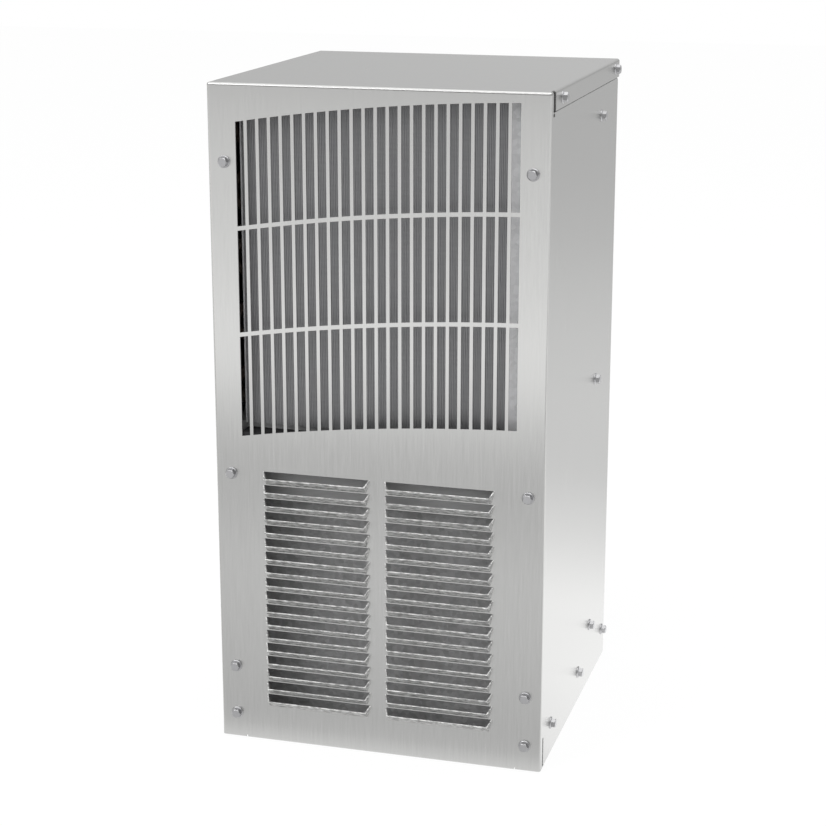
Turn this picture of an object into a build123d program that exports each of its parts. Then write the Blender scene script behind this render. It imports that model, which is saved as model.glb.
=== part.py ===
from build123d import *
import math
import os

# Narrow enclosure air conditioner, in millimetres.
# X runs to the right, Y from the louvred front to the rear mounting plane, Z up.
# The origin is on the base plane, at the middle of the rear mounting plane's lower edge.

# Casing
WIDTH = 254.0
DEPTH = 254.0
HEIGHT = 508.0
COVER_SHEET = 1.2
COVER_BEND = 2.0
FRAME_SHEET = 1.2
FIT_GAP = 0.3
TOUCH_GAP = 0.05

# Cover: seams, edges and relief cuts
TOP_FLANGE_DROP = 14.2
SEAM_WIDTH = 0.4
RETURN_STRIP = 5.4
RETURN_GAP = 7.6
SIDE_REAR_SETBACK = 5.0
SIDE_CORNER_R = 3.0
RELIEF_LAND = 0.8
RELIEF_HEIGHT = 2.2
RELIEF_WIDTH = 5.1
SIDE_SLOT_SETBACK = 6.6
SIDE_SLOT_WIDTH = 3.0
SIDE_SLOT_BOTTOM = 2.2
SIDE_SLOT_HEIGHT = 23.0
RAW_EDGE_LIFT = 0.9
FRONT_NOTCH_X = 107.0
FRONT_NOTCH_WIDTH = 1.3
FRONT_NOTCH_HEIGHT = 2.4
BOTTOM_FLANGE = 12.0
BOTTOM_FLANGE_END = 14.0

# Grille: columns of upright slots whose ends follow one arc
GRILLE_COLUMNS = 24
GRILLE_ROWS = 3
GRILLE_MARGIN = 21.59
SLOT_WIDTH = 6.35
SLOT_HEIGHT = 76.2
RIB_HEIGHT = 3.175
GRILLE_ARC_R = 1570.0
GRILLE_ARC_X = 149.0
GRILLE_ARC_DROP = 7.1

# Louvres: two banks of scoops that open upwards
LOUVRE_COUNT = 18
LOUVRE_BELOW_GRILLE = 47.25
LOUVRE_BASE = 28.26
LOUVRE_SPACE = 0.68
LOUVRE_GAP = 11.2
LOUVRE_MARGIN = 37.3
LOUVRE_PROUD = 6.0
LOUVRE_LIP_DROP = 4.7
LOUVRE_INSET = 2.8
LOUVRE_WALL = 0.9

# Cover screws
SCREW_R = 2.1
SCREW_CLEARANCE = 0.15
HEAD_AF = 6.35
HEAD_HEIGHT = 4.3
HEAD_CHAMFER = 0.7
FLANGE_R = 4.6
FLANGE_THICK = 1.1
FLANGE_CHAMFER = 0.5
CLINCH_R = 4.5
CLINCH_LENGTH = 3.0
SHANK_PROUD = 1.5
FRONT_SCREW_INSET = 12.4
FRONT_SCREW_LOW = (20.6, 59.5)
FRONT_SCREW_UNDER_DECK = 36.5
FRONT_SCREW_BELOW_TOP = 57.0
SIDE_SCREW_FRONT = 35.0
SIDE_SCREW_REAR = 16.5
TOP_SCREW_BELOW = 6.8
COLUMN_SCREW_Y = -71.5
COLUMN_SCREW_LOW = 50.8
COLUMN_SCREW_BELOW_TOP = 37.2
BASE_SCREW_MIDDLE = -115.5
BASE_SCREW_Z = 26.2

# Frame: pan, posts, rails, bulkhead, rear panel
PAN_WALL = 40.0
PAN_LIP = 12.0
POST_FACE = 18.5
POST_SIDE = 11.5
POST_BELOW_TOP = 20.0
RAIL_TOP_GAP = 0.3
RAIL_DEPTH = 28.5
RAIL_SHELF = 11.0
BULKHEAD_Y = -97.0
BULKHEAD_FLANGE = 34.0
REAR_FLANGE = 24.0
INSULATION_THICK = 8.0
INSULATION_INSET = 8.5
PASS_CLEARANCE = 1.5

# Rear face: openings, gasket and mounting nuts
WARM_INLET_WIDTH = 160.0
WARM_INLET_HEIGHT = 140.0
WARM_INLET_Z = 380.0
OUTLET_R = 57.0
OUTLET_Z = 95.0
RECESS_WIDTH = 120.0
RECESS_HEIGHT = 70.0
RECESS_Z = 225.0
RECESS_DEPTH = 24.0
RECESS_LAP = 8.0
GASKET_THICK = 3.2
GASKET_BAND = 10.0
GASKET_INSET = 19.0
GASKET_MARGIN = 12.0
MOUNT_INSET_X = 12.0
MOUNT_INSET_Z = 24.0
MOUNT_HOLE_R = 2.6
MOUNT_NUT_R = 5.0
MOUNT_NUT_LENGTH = 5.0

# Coils
TUBE_OD = 8.0
TUBE_WALL = 0.8
FIN_DEPTH = 36.0
FIN_SPINE = 12.0
FIN_PITCH = 1.27
FIN_THICK = 0.95
PLATE_OVER = 1.2
CONDENSER_TUBES = 10
CONDENSER_BELOW_TOP = 8.0
CONDENSER_LEFT_MARGIN = 21.4
CONDENSER_RIGHT_MARGIN = 33.4
CONDENSER_FRONT_GAP = 12.8
CONDENSER_RIGHT_LIP = 18.0
CONDENSER_PLATE_GAP = 0.6
EVAPORATOR_TUBES = 6
EVAPORATOR_LEFT_MARGIN = 39.0
EVAPORATOR_RIGHT_MARGIN = 49.0
EVAPORATOR_REAR = -26.0
EVAPORATOR_Z = 305.0
EVAPORATOR_FOOT = 16.5
STUB_REACH = 7.0

# Ambient side: deck, baffle, fan
DECK_BELOW_GRILLE = 13.95
DECK_FRONT_GAP = 16.8
DECK_DROP = 48.0
DECK_STEP = 8.0
DECK_SKIRT = 12.0
DECK_RISE = 10.0
DECK_HOLE_MARGIN = 47.0
DECK_HOLE_FRONT = 64.0
DECK_HOLE_REAR = -112.0
SEAL_BELOW_DECK = 26.0
SEAL_HEIGHT = 22.0
SEAL_INSET = 20.5
BAFFLE_SET = 32.0
BAFFLE_LEFT_MARGIN = 15.0
BAFFLE_RIGHT_MARGIN = 23.0
BAFFLE_BELOW_DECK = 49.0
BAFFLE_FOOT = 12.0
FAN_TIP_R = 76.0
FAN_HUB_R = 20.0
FAN_WIDTH = 24.0
FAN_BLADES = 5
FAN_TIP_GAP = 4.0
FAN_PITCH_DEG = 32.0
RING_DEPTH = 16.0
BLADE_THICK = 2.0
SHAFT_R = 3.0
SHAFT_RUNNING = 0.05
MOTOR_R = 36.0
MOTOR_LENGTH = 50.0
MOTOR_GAP = 5.0
MOTOR_BORE_DEPTH = 26.0
BRACKET_HALF_WIDTH = 14.0
BRACKET_RISE = 95.0
BRACKET_FOOT = 12.0

# Ambient side: compressor and the parts beside it
COMPRESSOR_X = -28.0
COMPRESSOR_SET_BACK = 4.5
COMPRESSOR_R = 44.0
COMPRESSOR_TOP = 150.0
COMPRESSOR_ROUND = 13.0
GROMMET_R = 8.0
GROMMET_HEIGHT = 14.0
EAR_R = 52.0
EAR_ANGLES = (0, 120, 240)
EAR_PAD_R = 8.0
BASE_THICK = 2.5
STUD_R = 3.0
STUD_NUT_AF = 9.0
STUD_NUT_HEIGHT = 4.0
TERMINAL_COVER_LOW = 45.0
TERMINAL_COVER_HIGH = 80.0
DRIER_INSET = 14.0
DRIER_SET = 56.0
DRIER_R = 9.0
DRIER_BOTTOM = 62.0
DRIER_LENGTH = 101.0
DRIER_NECK = 12.0
CAPACITOR_X = 72.0
CAPACITOR_SET_BACK = 5.0
CAPACITOR_R = 17.0
CAPACITOR_HEIGHT = 60.0

# Refrigerant lines
LINE_BEND = 10.0
CAPILLARY_OD = 2.4
LINE_RUN_INSET = 10.0
DISCHARGE_SET = 69.0
DISCHARGE_Z = 202.0
SUCTION_INSET = 23.0
SUCTION_Y = -115.0
SUCTION_Z = 184.0
CAPILLARY_LOW = 40.0
CAPILLARY_BELOW_DECK = 22.0
CAPILLARY_REAR_Y = -75.0
PORT_SPREAD = 18.0

# Enclosure side: tray and fan
TRAY_LEFT_MARGIN = 17.0
TRAY_RIGHT_MARGIN = 27.0
TRAY_FRONT = -70.0
TRAY_WALL = 15.0
DRAIN_INSET = 10.0
DRAIN_Y = -50.0
DRAIN_R = 5.0
OUTLET_FAN_SIDE = 119.0
OUTLET_FAN_DEPTH = 38.0
OUTLET_FAN_SET = 8.0
OUTLET_HUB_R = 29.0
OUTLET_HOLE_PITCH = 104.8
OUTLET_BLADES = 7
GUARD_WIRE_R = 1.0
GUARD_RINGS = (20.0, 32.0, 44.0, 55.0)
BOLT_R = 2.0

# Controls, set in the rear recess
KNOB_X = -34.0
KNOB_R = 14.0
KNOB_HEIGHT = 13.0
DIAL_R = 22.0
DIAL_THICK = 1.0
SPINDLE_R = 3.0
BODY_DEPTH = 28.0
RESET_X = 2.0
RESET_Z = 236.0
RESET_R = 4.0
RESET_TRAVEL = 2.0
RESET_BEZEL_R = 7.5
TERMINAL_X = 34.0
TERMINAL_Z = 240.0
TERMINAL_WIDTH = 42.0
TERMINAL_HEIGHT = 17.0
TERMINAL_POLES = 3
GLAND_X = 38.0
GLAND_Z = 209.0
GLAND_R = 9.0
GLAND_BORE_R = 4.5
BULB_R = 4.0
BULB_LENGTH = 70.0

# Faces and levels worked out from the sizes above
FRONT = -DEPTH
INNER_FRONT = FRONT + COVER_SHEET
HALF = WIDTH / 2
INNER_X = HALF - COVER_SHEET
INNER_TOP = HEIGHT - COVER_SHEET
INNER_BEND = COVER_BEND - COVER_SHEET
SEAM_TOP = HEIGHT - TOP_FLANGE_DROP
SIDE_TOP = SEAM_TOP - SEAM_WIDTH
SLOT_PITCH = (WIDTH - 2 * GRILLE_MARGIN - SLOT_WIDTH) / (GRILLE_COLUMNS - 1)
GRILLE_LOW = HEIGHT - GRILLE_ARC_DROP - GRILLE_ROWS * SLOT_HEIGHT - (GRILLE_ROWS - 1) * RIB_HEIGHT
LOUVRE_TOP = GRILLE_LOW - LOUVRE_BELOW_GRILLE
LOUVRE_PITCH = (LOUVRE_TOP - LOUVRE_BASE) / LOUVRE_COUNT
LOUVRE_HEIGHT = LOUVRE_PITCH - LOUVRE_SPACE
LOUVRE_WIDTH = HALF - LOUVRE_GAP / 2 - LOUVRE_MARGIN
DECK_Z = GRILLE_LOW - DECK_BELOW_GRILLE
FRONT_SCREW_X = HALF - FRONT_SCREW_INSET
FRONT_SCREW_Z = FRONT_SCREW_LOW + (DECK_Z - FRONT_SCREW_UNDER_DECK, HEIGHT - FRONT_SCREW_BELOW_TOP)
TOP_SCREW_Y = (FRONT + SIDE_SCREW_FRONT, -SIDE_SCREW_REAR)
BASE_SCREW_Y = (FRONT + SIDE_SCREW_FRONT, BASE_SCREW_MIDDLE, -SIDE_SCREW_REAR)
COLUMN_SCREW_HIGH = HEIGHT - COLUMN_SCREW_BELOW_TOP
COLUMN_SCREW_Z = (COLUMN_SCREW_LOW, (COLUMN_SCREW_LOW + COLUMN_SCREW_HIGH) / 2, COLUMN_SCREW_HIGH)
POST_TOP = HEIGHT - POST_BELOW_TOP
FRAME_X = INNER_X - FIT_GAP
FRAME_IN = FRAME_X - FRAME_SHEET
FRAME_TOP = INNER_TOP - FIT_GAP
PAN_Z = COVER_SHEET
PAN_TOP = PAN_Z + FRAME_SHEET
PAN_FRONT = INNER_FRONT + COVER_BEND - INNER_BEND + 0.1
REAR_IN = -FRAME_SHEET
RAIL_BOTTOM = INNER_TOP - RAIL_TOP_GAP - RAIL_DEPTH
BULKHEAD_BACK = BULKHEAD_Y + FRAME_SHEET
INSULATION_BACK = BULKHEAD_BACK + INSULATION_THICK
INSULATION_HALF = HALF - INSULATION_INSET
CONDENSER_TOP = HEIGHT - CONDENSER_BELOW_TOP
TUBE_PITCH = (CONDENSER_TOP - DECK_Z) / CONDENSER_TUBES
CONDENSER_LEFT = -HALF + CONDENSER_LEFT_MARGIN
CONDENSER_RIGHT = HALF - CONDENSER_RIGHT_MARGIN
CONDENSER_FRONT = INNER_FRONT + CONDENSER_FRONT_GAP
CONDENSER_BACK = CONDENSER_FRONT + FIN_DEPTH
CONDENSER_TUBE_Y = CONDENSER_FRONT + FIN_DEPTH / 2
DECK_FRONT = INNER_FRONT + DECK_FRONT_GAP
DECK_LOW = DECK_Z - DECK_DROP
BAFFLE_Y = FRONT + BAFFLE_SET
BAFFLE_TOP = DECK_Z - BAFFLE_BELOW_DECK
SEAL_BOTTOM = DECK_Z - SEAL_BELOW_DECK
SEAL_HALF = HALF - SEAL_INSET
COMPRESSOR_Y = (BAFFLE_Y + BULKHEAD_Y) / 2 + COMPRESSOR_SET_BACK
CAPACITOR_Y = COMPRESSOR_Y + CAPACITOR_SET_BACK
DRIER_X = HALF - DRIER_INSET
DRIER_Y = FRONT + DRIER_SET
LINE_RUN_X = HALF - LINE_RUN_INSET
DISCHARGE_Y = FRONT + DISCHARGE_SET
SUCTION_X = HALF - SUCTION_INSET
CAPILLARY_PASS_Z = DECK_Z - CAPILLARY_BELOW_DECK
FAN_X = (CONDENSER_LEFT + CONDENSER_RIGHT) / 2
FAN_Z = (DECK_Z + CONDENSER_TOP) / 2
SHROUD_Y = CONDENSER_BACK + FIT_GAP
RING_R = FAN_TIP_R + FAN_TIP_GAP
MOTOR_Y = SHROUD_Y + FRAME_SHEET + FAN_WIDTH + MOTOR_GAP
EVAPORATOR_LEFT = -HALF + EVAPORATOR_LEFT_MARGIN
EVAPORATOR_RIGHT = HALF - EVAPORATOR_RIGHT_MARGIN
EVAPORATOR_FRONT = EVAPORATOR_REAR - FIN_DEPTH
EVAPORATOR_TUBE_Y = EVAPORATOR_FRONT + FIN_DEPTH / 2
EVAPORATOR_TOP = EVAPORATOR_Z + EVAPORATOR_TUBES * TUBE_PITCH
TRAY_FLOOR = EVAPORATOR_Z - EVAPORATOR_FOOT
TRAY_LEFT = -HALF + TRAY_LEFT_MARGIN
TRAY_RIGHT = HALF - TRAY_RIGHT_MARGIN
DRAIN_X = TRAY_LEFT + DRAIN_INSET
RECESS_FLOOR = -RECESS_DEPTH
GASKET_HALF_WIDTH = HALF - GASKET_INSET
MOUNT_X = HALF - MOUNT_INSET_X
MOUNT_Z = HEIGHT / 2
MOUNT_RISE = HEIGHT / 2 - MOUNT_INSET_Z

CENTRED = (Align.CENTER, Align.CENTER, Align.MIN)
TURN = {
    "+x": Rot(0, 90, 0),
    "-x": Rot(0, -90, 0),
    "+y": Rot(-90, 0, 0),
    "-y": Rot(90, 0, 0),
    "+z": Rot(0, 0, 0),
    "-z": Rot(180, 0, 0),
}


def block(x0, x1, y0, y1, z0, z1):
    """Box between two opposite corners."""
    centre = Pos((x0 + x1) / 2, (y0 + y1) / 2, (z0 + z1) / 2)
    return centre * Box(abs(x1 - x0), abs(y1 - y0), abs(z1 - z0))


def rod(start, way, radius, length):
    """Cylinder from a start point along one axis."""
    return Pos(*start) * TURN[way] * Cylinder(radius, length, align=CENTRED)


def ring(start, way, outer, inner, length):
    """Plain tube from a start point along one axis."""
    return rod(start, way, outer, length) - rod(start, way, inner, length)


def hexagon(start, way, across_flats, height):
    """Hexagonal prism from a start point along one axis."""
    outline = RegularPolygon(across_flats / 2, 6, major_radius=False)
    return Pos(*start) * TURN[way] * extrude(outline, amount=height)


def chamfered_hex(start, way, across_flats, height):
    """Hex head whose outer end is turned to a round chamfer."""
    corner = across_flats / math.sqrt(3)
    turned = Cylinder(corner, height, align=CENTRED)
    rim = turned.edges().sort_by(Axis.Z)[-1]
    turned = chamfer(rim, length=min(HEAD_CHAMFER, height / 2))
    return hexagon(start, way, across_flats, height) & (Pos(*start) * TURN[way] * turned)


def mirrored(shape):
    """The same shape on the other side of the middle plane."""
    return mirror(shape, about=Plane.YZ)


def both_sides(shape):
    return shape + mirrored(shape)


def plan_plate(points, z0, z1):
    """Flat plate with a plan outline."""
    return extrude(make_face(Polyline(*points, close=True)), amount=z1 - z0).moved(Location((0, 0, z0)))


def side_prism(points, x0, x1):
    """Prism along X with an outline given as (y, z) points."""
    outline = [(0, y, z) for y, z in points]
    return Pos(x0, 0, 0) * extrude(make_face(Polyline(*outline, close=True)), amount=x1 - x0, dir=(1, 0, 0))


def pipe(points, bend, outer, wall):
    """Bent tube along straight runs joined by arcs."""
    path = FilletPolyline(*points, radius=bend)
    start = Plane(origin=path @ 0, z_dir=path % 0)
    section = start * (Circle(outer / 2) - Circle(outer / 2 - wall))
    return sweep(section, path=path)


def grille_top(x):
    """Height of the arc that the slots' upper ends follow."""
    reach = x - GRILLE_ARC_X
    return HEIGHT - GRILLE_ARC_DROP - GRILLE_ARC_R + math.sqrt(GRILLE_ARC_R**2 - reach**2)


def grille_slots():
    """Every slot of the grille, as prisms through the front."""
    first = -((GRILLE_COLUMNS - 1) * SLOT_PITCH + SLOT_WIDTH) / 2
    slots = []
    for column in range(GRILLE_COLUMNS):
        left = first + column * SLOT_PITCH
        right = left + SLOT_WIDTH
        for row in range(GRILLE_ROWS):
            down = row * (SLOT_HEIGHT + RIB_HEIGHT)
            corners = [
                (left, FRONT - 1, grille_top(left) - down),
                (right, FRONT - 1, grille_top(right) - down),
                (right, FRONT - 1, grille_top(right) - down - SLOT_HEIGHT),
                (left, FRONT - 1, grille_top(left) - down - SLOT_HEIGHT),
            ]
            face = make_face(Polyline(*corners, close=True))
            slots.append(extrude(face, amount=COVER_SHEET + 2, dir=(0, 1, 0)))
    return slots


def louvre_end_plane(inward):
    """Plane of a louvre's left end wall, moved inward along its own normal."""
    top = Vector(0, 0, 0)
    low = Vector(LOUVRE_INSET, 0, -LOUVRE_HEIGHT)
    lip = Vector(LOUVRE_INSET, -LOUVRE_PROUD, -LOUVRE_LIP_DROP)
    normal = (lip - top).cross(low - top).normalized()
    return Plane(origin=top + normal * inward, z_dir=normal)


def louvre_pair():
    """One scoop's outer form and the space inside it, at x 0 and z 0 of its top left corner."""
    lap = 0.2
    solid = side_prism([(lap, 0), (0, 0), (-LOUVRE_PROUD, -LOUVRE_LIP_DROP),
                        (0, -LOUVRE_HEIGHT), (lap, -LOUVRE_HEIGHT)], 0, LOUVRE_WIDTH)
    run = math.hypot(LOUVRE_PROUD, LOUVRE_HEIGHT - LOUVRE_LIP_DROP)
    slope = (LOUVRE_HEIGHT - LOUVRE_LIP_DROP) / LOUVRE_PROUD
    lift = LOUVRE_WALL * run / LOUVRE_PROUD
    back = COVER_SHEET + 0.1
    reach = LOUVRE_PROUD + 1
    hollow = side_prism([(back, 0), (-reach, 0), (-reach, lift - LOUVRE_HEIGHT + reach * slope),
                         (back, lift - LOUVRE_HEIGHT - back * slope)], 0, LOUVRE_WIDTH)
    centre = Plane(origin=(LOUVRE_WIDTH / 2, 0, 0), z_dir=(1, 0, 0))
    trimmed = []
    for shape, inward in ((solid, 0.0), (hollow, LOUVRE_WALL)):
        left = split(shape, bisect_by=louvre_end_plane(inward), keep=Keep.TOP)
        left = split(left, bisect_by=centre, keep=Keep.BOTTOM)
        trimmed.append(left + mirror(left, about=centre))
    return trimmed


def louvre_places():
    for row in range(LOUVRE_COUNT):
        z = LOUVRE_TOP - row * LOUVRE_PITCH
        for x in (LOUVRE_GAP / 2, -LOUVRE_GAP / 2 - LOUVRE_WIDTH):
            yield Pos(x, FRONT, z)


def front_screw_sites():
    return [(side * FRONT_SCREW_X, FRONT, z) for z in FRONT_SCREW_Z for side in (-1, 1)]


def side_screw_sites():
    """Places on the right-hand side, which the left-hand side repeats."""
    sites = [(y, HEIGHT - TOP_SCREW_BELOW) for y in TOP_SCREW_Y]
    sites += [(COLUMN_SCREW_Y, z) for z in COLUMN_SCREW_Z]
    sites += [(y, BASE_SCREW_Z) for y in BASE_SCREW_Y]
    return sites


def side_holes(radius, x0, x1):
    """Holes for the side screws, on both sides."""
    holes = [rod((x0, y, z), "+x", radius, x1 - x0) for y, z in side_screw_sites()]
    return holes + [mirrored(hole) for hole in holes]


def bent_flange(x0, x1, y0, y1, height, edge_axis):
    """Sheet turned inwards at the bottom edge of the cover, with its bend."""
    outer = block(x0, x1, y0, y1, 0, height)
    inner = block(x0, x1, y0, y1, COVER_SHEET, height)
    if edge_axis == Axis.X:
        inner = inner.moved(Location((0, COVER_SHEET, 0)))
        outer = fillet(outer.edges().filter_by(Axis.X).sort_by(Axis.Z)[:2].sort_by(Axis.Y)[0], COVER_BEND)
        inner = fillet(inner.edges().filter_by(Axis.X).sort_by(Axis.Z)[:2].sort_by(Axis.Y)[0], INNER_BEND)
    else:
        inner = inner.moved(Location((-COVER_SHEET, 0, 0)))
        outer = fillet(outer.edges().filter_by(Axis.Y).sort_by(Axis.Z)[:2].sort_by(Axis.X)[-1], COVER_BEND)
        inner = fillet(inner.edges().filter_by(Axis.Y).sort_by(Axis.Z)[:2].sort_by(Axis.X)[-1], INNER_BEND)
    return outer - inner


def cover_shell():
    """Front, sides and top before any opening is cut."""
    outer = block(-HALF, HALF, FRONT, 0, 0, HEIGHT)
    uprights = outer.edges().filter_by(Axis.Z).sort_by(Axis.Y)[:2]
    crown = outer.edges().sort_by(Axis.Z)[-4:].sort_by(Axis.Y)[:3]
    outer = fillet(uprights + crown, COVER_BEND)
    inner = block(-INNER_X, INNER_X, INNER_FRONT, 1, -1, INNER_TOP)
    uprights = inner.edges().filter_by(Axis.Z).sort_by(Axis.Y)[:2]
    crown = inner.edges().sort_by(Axis.Z)[-4:].sort_by(Axis.Y)[:3]
    return outer - fillet(uprights + crown, INNER_BEND)


def front_cover():
    cover = cover_shell()
    flange_front = FRONT + RETURN_STRIP + RETURN_GAP
    notch_in = FRONT_NOTCH_X - FRONT_NOTCH_WIDTH / 2
    notch_out = FRONT_NOTCH_X + FRONT_NOTCH_WIDTH / 2
    wall_in = FRAME_IN
    strip_rear = FRONT + RETURN_STRIP
    relief_top = SIDE_TOP - RELIEF_LAND
    slot_front = FRONT + SIDE_SLOT_SETBACK
    rear_edge = -SIDE_REAR_SETBACK
    corner_z = SIDE_TOP - SIDE_CORNER_R
    corner_y = rear_edge - SIDE_CORNER_R
    corner = block(wall_in, HALF + 1, corner_y, rear_edge, corner_z, SIDE_TOP)
    corner -= rod((wall_in - 1, corner_y, corner_z), "+x", SIDE_CORNER_R, HALF)
    side_cuts = [
        block(wall_in, HALF + 1, flange_front, 1, SIDE_TOP, SEAM_TOP),
        block(wall_in, HALF + 1, strip_rear, flange_front, SIDE_TOP, HEIGHT - COVER_BEND),
        block(HALF - COVER_BEND, HALF + 1, strip_rear, flange_front, SIDE_TOP, HEIGHT + 1),
        block(wall_in, HALF + 1, strip_rear, strip_rear + RELIEF_WIDTH,
              relief_top - RELIEF_HEIGHT, relief_top),
        block(wall_in, HALF + 1, slot_front, slot_front + SIDE_SLOT_WIDTH,
              SIDE_SLOT_BOTTOM, SIDE_SLOT_BOTTOM + SIDE_SLOT_HEIGHT),
        block(wall_in, HALF + 1, rear_edge, 1, -1, SIDE_TOP + SEAM_WIDTH / 2),
        block(wall_in, HALF + 1, FRONT + BOTTOM_FLANGE_END, 1, -1, FRONT_NOTCH_HEIGHT),
        corner,
    ]
    cuts = [
        block(-notch_out, notch_out, FRONT - 1, INNER_FRONT + 1, -1, FRONT_NOTCH_HEIGHT),
        block(-HALF - 1, HALF + 1, FRONT - 1, FRONT + BOTTOM_FLANGE_END, -1, RAW_EDGE_LIFT),
    ]
    cover -= cuts + side_cuts + [mirrored(cut) for cut in side_cuts]
    cover += bent_flange(-notch_in, notch_in, FRONT, FRONT + BOTTOM_FLANGE, FRONT_NOTCH_HEIGHT, Axis.X)
    cover += both_sides(bent_flange(HALF - BOTTOM_FLANGE, HALF, FRONT + BOTTOM_FLANGE_END,
                                    rear_edge, FRONT_NOTCH_HEIGHT, Axis.Y))
    hole_r = SCREW_R + SCREW_CLEARANCE
    holes = side_holes(hole_r, FRAME_X, HALF + 1)
    holes += [rod((x, FRONT - 1, z), "+y", hole_r, COVER_SHEET + 2) for x, _, z in front_screw_sites()]
    solid, hollow = louvre_pair()
    cover += [place * solid for place in louvre_places()]
    return cover - (grille_slots() + holes + [place * hollow for place in louvre_places()])


def side_sites(start):
    """Places on the outside of both sides, a height above the sheet."""
    for y, z in side_screw_sites():
        yield (HALF + start, y, z), "+x", "-x"
        yield (-HALF - start, y, z), "-x", "+x"


def flanged_screw(site, out, back):
    """Hex head with a round flange, and its shank through the sheets and the nut."""
    length = COVER_SHEET + FIT_GAP + FRAME_SHEET + CLINCH_LENGTH + SHANK_PROUD
    flange = Cylinder(FLANGE_R, FLANGE_THICK, align=CENTRED)
    flange = chamfer(flange.edges().sort_by(Axis.Z)[-1], length=FLANGE_CHAMFER)
    head = Pos(*site) * TURN[out] * flange + chamfered_hex(site, out, HEAD_AF, HEAD_HEIGHT)
    return head + rod(site, back, SCREW_R, length)


def cover_screws():
    screws = [flanged_screw(site, "-y", "+y") for site in front_screw_sites()]
    return screws + [flanged_screw(site, out, back) for site, out, back in side_sites(0)]


def clinch_nuts():
    """Nuts pressed into the frame behind every cover screw."""
    bore = SCREW_R + SCREW_CLEARANCE
    front_y = INNER_FRONT + FIT_GAP + FRAME_SHEET
    nuts = [ring((x, front_y, z), "+y", CLINCH_R, bore, CLINCH_LENGTH) for x, _, z in front_screw_sites()]
    for y, z in side_screw_sites():
        nut = ring((FRAME_IN, y, z), "-x", CLINCH_R, bore, CLINCH_LENGTH)
        nuts += [nut, mirrored(nut)]
    return nuts


def frame_holes():
    """Holes that the side screws take through the frame's flanges."""
    return side_holes(SCREW_R + SCREW_CLEARANCE, FRAME_IN - 1, FRAME_X + 0.1)


def base_pan():
    side_front = FRONT + BOTTOM_FLANGE_END + 1
    side_rear = -REAR_FLANGE - 1
    outer = block(-FRAME_X, FRAME_X, PAN_FRONT, REAR_IN - 0.1, PAN_Z, PAN_WALL)
    outer = fillet(outer.edges().filter_by(Axis.Y).sort_by(Axis.Z)[:2], COVER_BEND)
    inner = block(-FRAME_IN, FRAME_IN, PAN_FRONT - 1, 1, PAN_TOP, PAN_WALL + 1)
    pan = outer - inner
    for side in (-1, 1):
        pan -= block(side * FRAME_IN, side * HALF, PAN_FRONT - 1, side_front, PAN_TOP, PAN_WALL + 1)
        pan -= block(side * FRAME_IN, side * HALF, side_rear, 1, PAN_TOP, PAN_WALL + 1)
    lip_half = FRONT_SCREW_X - POST_FACE / 2 - 4
    pan += block(-lip_half, lip_half, PAN_FRONT, PAN_FRONT + FRAME_SHEET, PAN_TOP, PAN_TOP + PAN_LIP)
    pan -= rod((DRAIN_X, DRAIN_Y, 0), "+z", DRAIN_R + FIT_GAP, PAN_TOP + 1)
    studs = [rod((x, y, 0), "+z", STUD_R + TOUCH_GAP, PAN_TOP + 1) for x, y in ear_centres()]
    return pan - (studs + frame_holes())


def corner_post():
    """Right-hand angle that carries the front screws."""
    face_y = INNER_FRONT + FIT_GAP
    post = block(FRAME_X - POST_FACE, FRAME_X, face_y, face_y + FRAME_SHEET, PAN_TOP, POST_TOP)
    post += block(FRAME_IN, FRAME_X, face_y, face_y + POST_SIDE, PAN_TOP, POST_TOP)
    hole_r = SCREW_R + SCREW_CLEARANCE
    return post - [rod((FRONT_SCREW_X, face_y - 1, z), "+y", hole_r, 4) for z in FRONT_SCREW_Z]


def top_rail():
    """Right-hand rail behind the seam between the cover's side and its top flange."""
    front = INNER_FRONT + FIT_GAP + POST_SIDE + 1
    rear = -REAR_FLANGE - 1
    rail = block(FRAME_IN, FRAME_X, front, rear, RAIL_BOTTOM, INNER_TOP - RAIL_TOP_GAP)
    shelf_front = DISCHARGE_Y + 2 * TUBE_OD
    rail += block(FRAME_X - RAIL_SHELF, FRAME_X, shelf_front, rear, RAIL_BOTTOM, RAIL_BOTTOM + FRAME_SHEET)
    return rail - frame_holes()


def bulkhead():
    low = PAN_WALL + 1
    high = RAIL_BOTTOM - 1
    narrow = FRAME_IN - FIT_GAP
    wall = block(-narrow, narrow, BULKHEAD_Y, BULKHEAD_BACK, PAN_TOP, FRAME_TOP)
    wall += block(-FRAME_X, FRAME_X, BULKHEAD_Y, BULKHEAD_BACK, low, high)
    wall += both_sides(block(FRAME_IN, FRAME_X, BULKHEAD_Y, BULKHEAD_Y + BULKHEAD_FLANGE, low, high))
    shelf = block(FRAME_X - RAIL_SHELF - FIT_GAP, HALF, BULKHEAD_Y - 1, BULKHEAD_BACK + 1,
                  RAIL_BOTTOM - 1, RAIL_BOTTOM + FRAME_SHEET + FIT_GAP)
    wall -= both_sides(shelf)
    return wall - (frame_holes() + line_passes(PASS_CLEARANCE))


def line_passes(clearance):
    """Holes for the two lines that go through the bulkhead."""
    start = BULKHEAD_Y - 1
    length = INSULATION_BACK - BULKHEAD_Y + 2
    return [
        rod((SUCTION_X, start, evaporator_tube_z(EVAPORATOR_TUBES - 1)), "+y",
            TUBE_OD / 2 + clearance, length),
        rod((DRIER_X, start, CAPILLARY_PASS_Z), "+y", CAPILLARY_OD / 2 + clearance, length),
    ]


def bulkhead_insulation():
    foam = block(-INSULATION_HALF, INSULATION_HALF, BULKHEAD_BACK, INSULATION_BACK,
                 PAN_TOP + FIT_GAP, RAIL_BOTTOM - 1)
    return foam - line_passes(PASS_CLEARANCE)


def outlet_hole_sites():
    half = OUTLET_HOLE_PITCH / 2
    return [(sx * half, OUTLET_Z + sz * half) for sx in (-1, 1) for sz in (-1, 1)]


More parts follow.
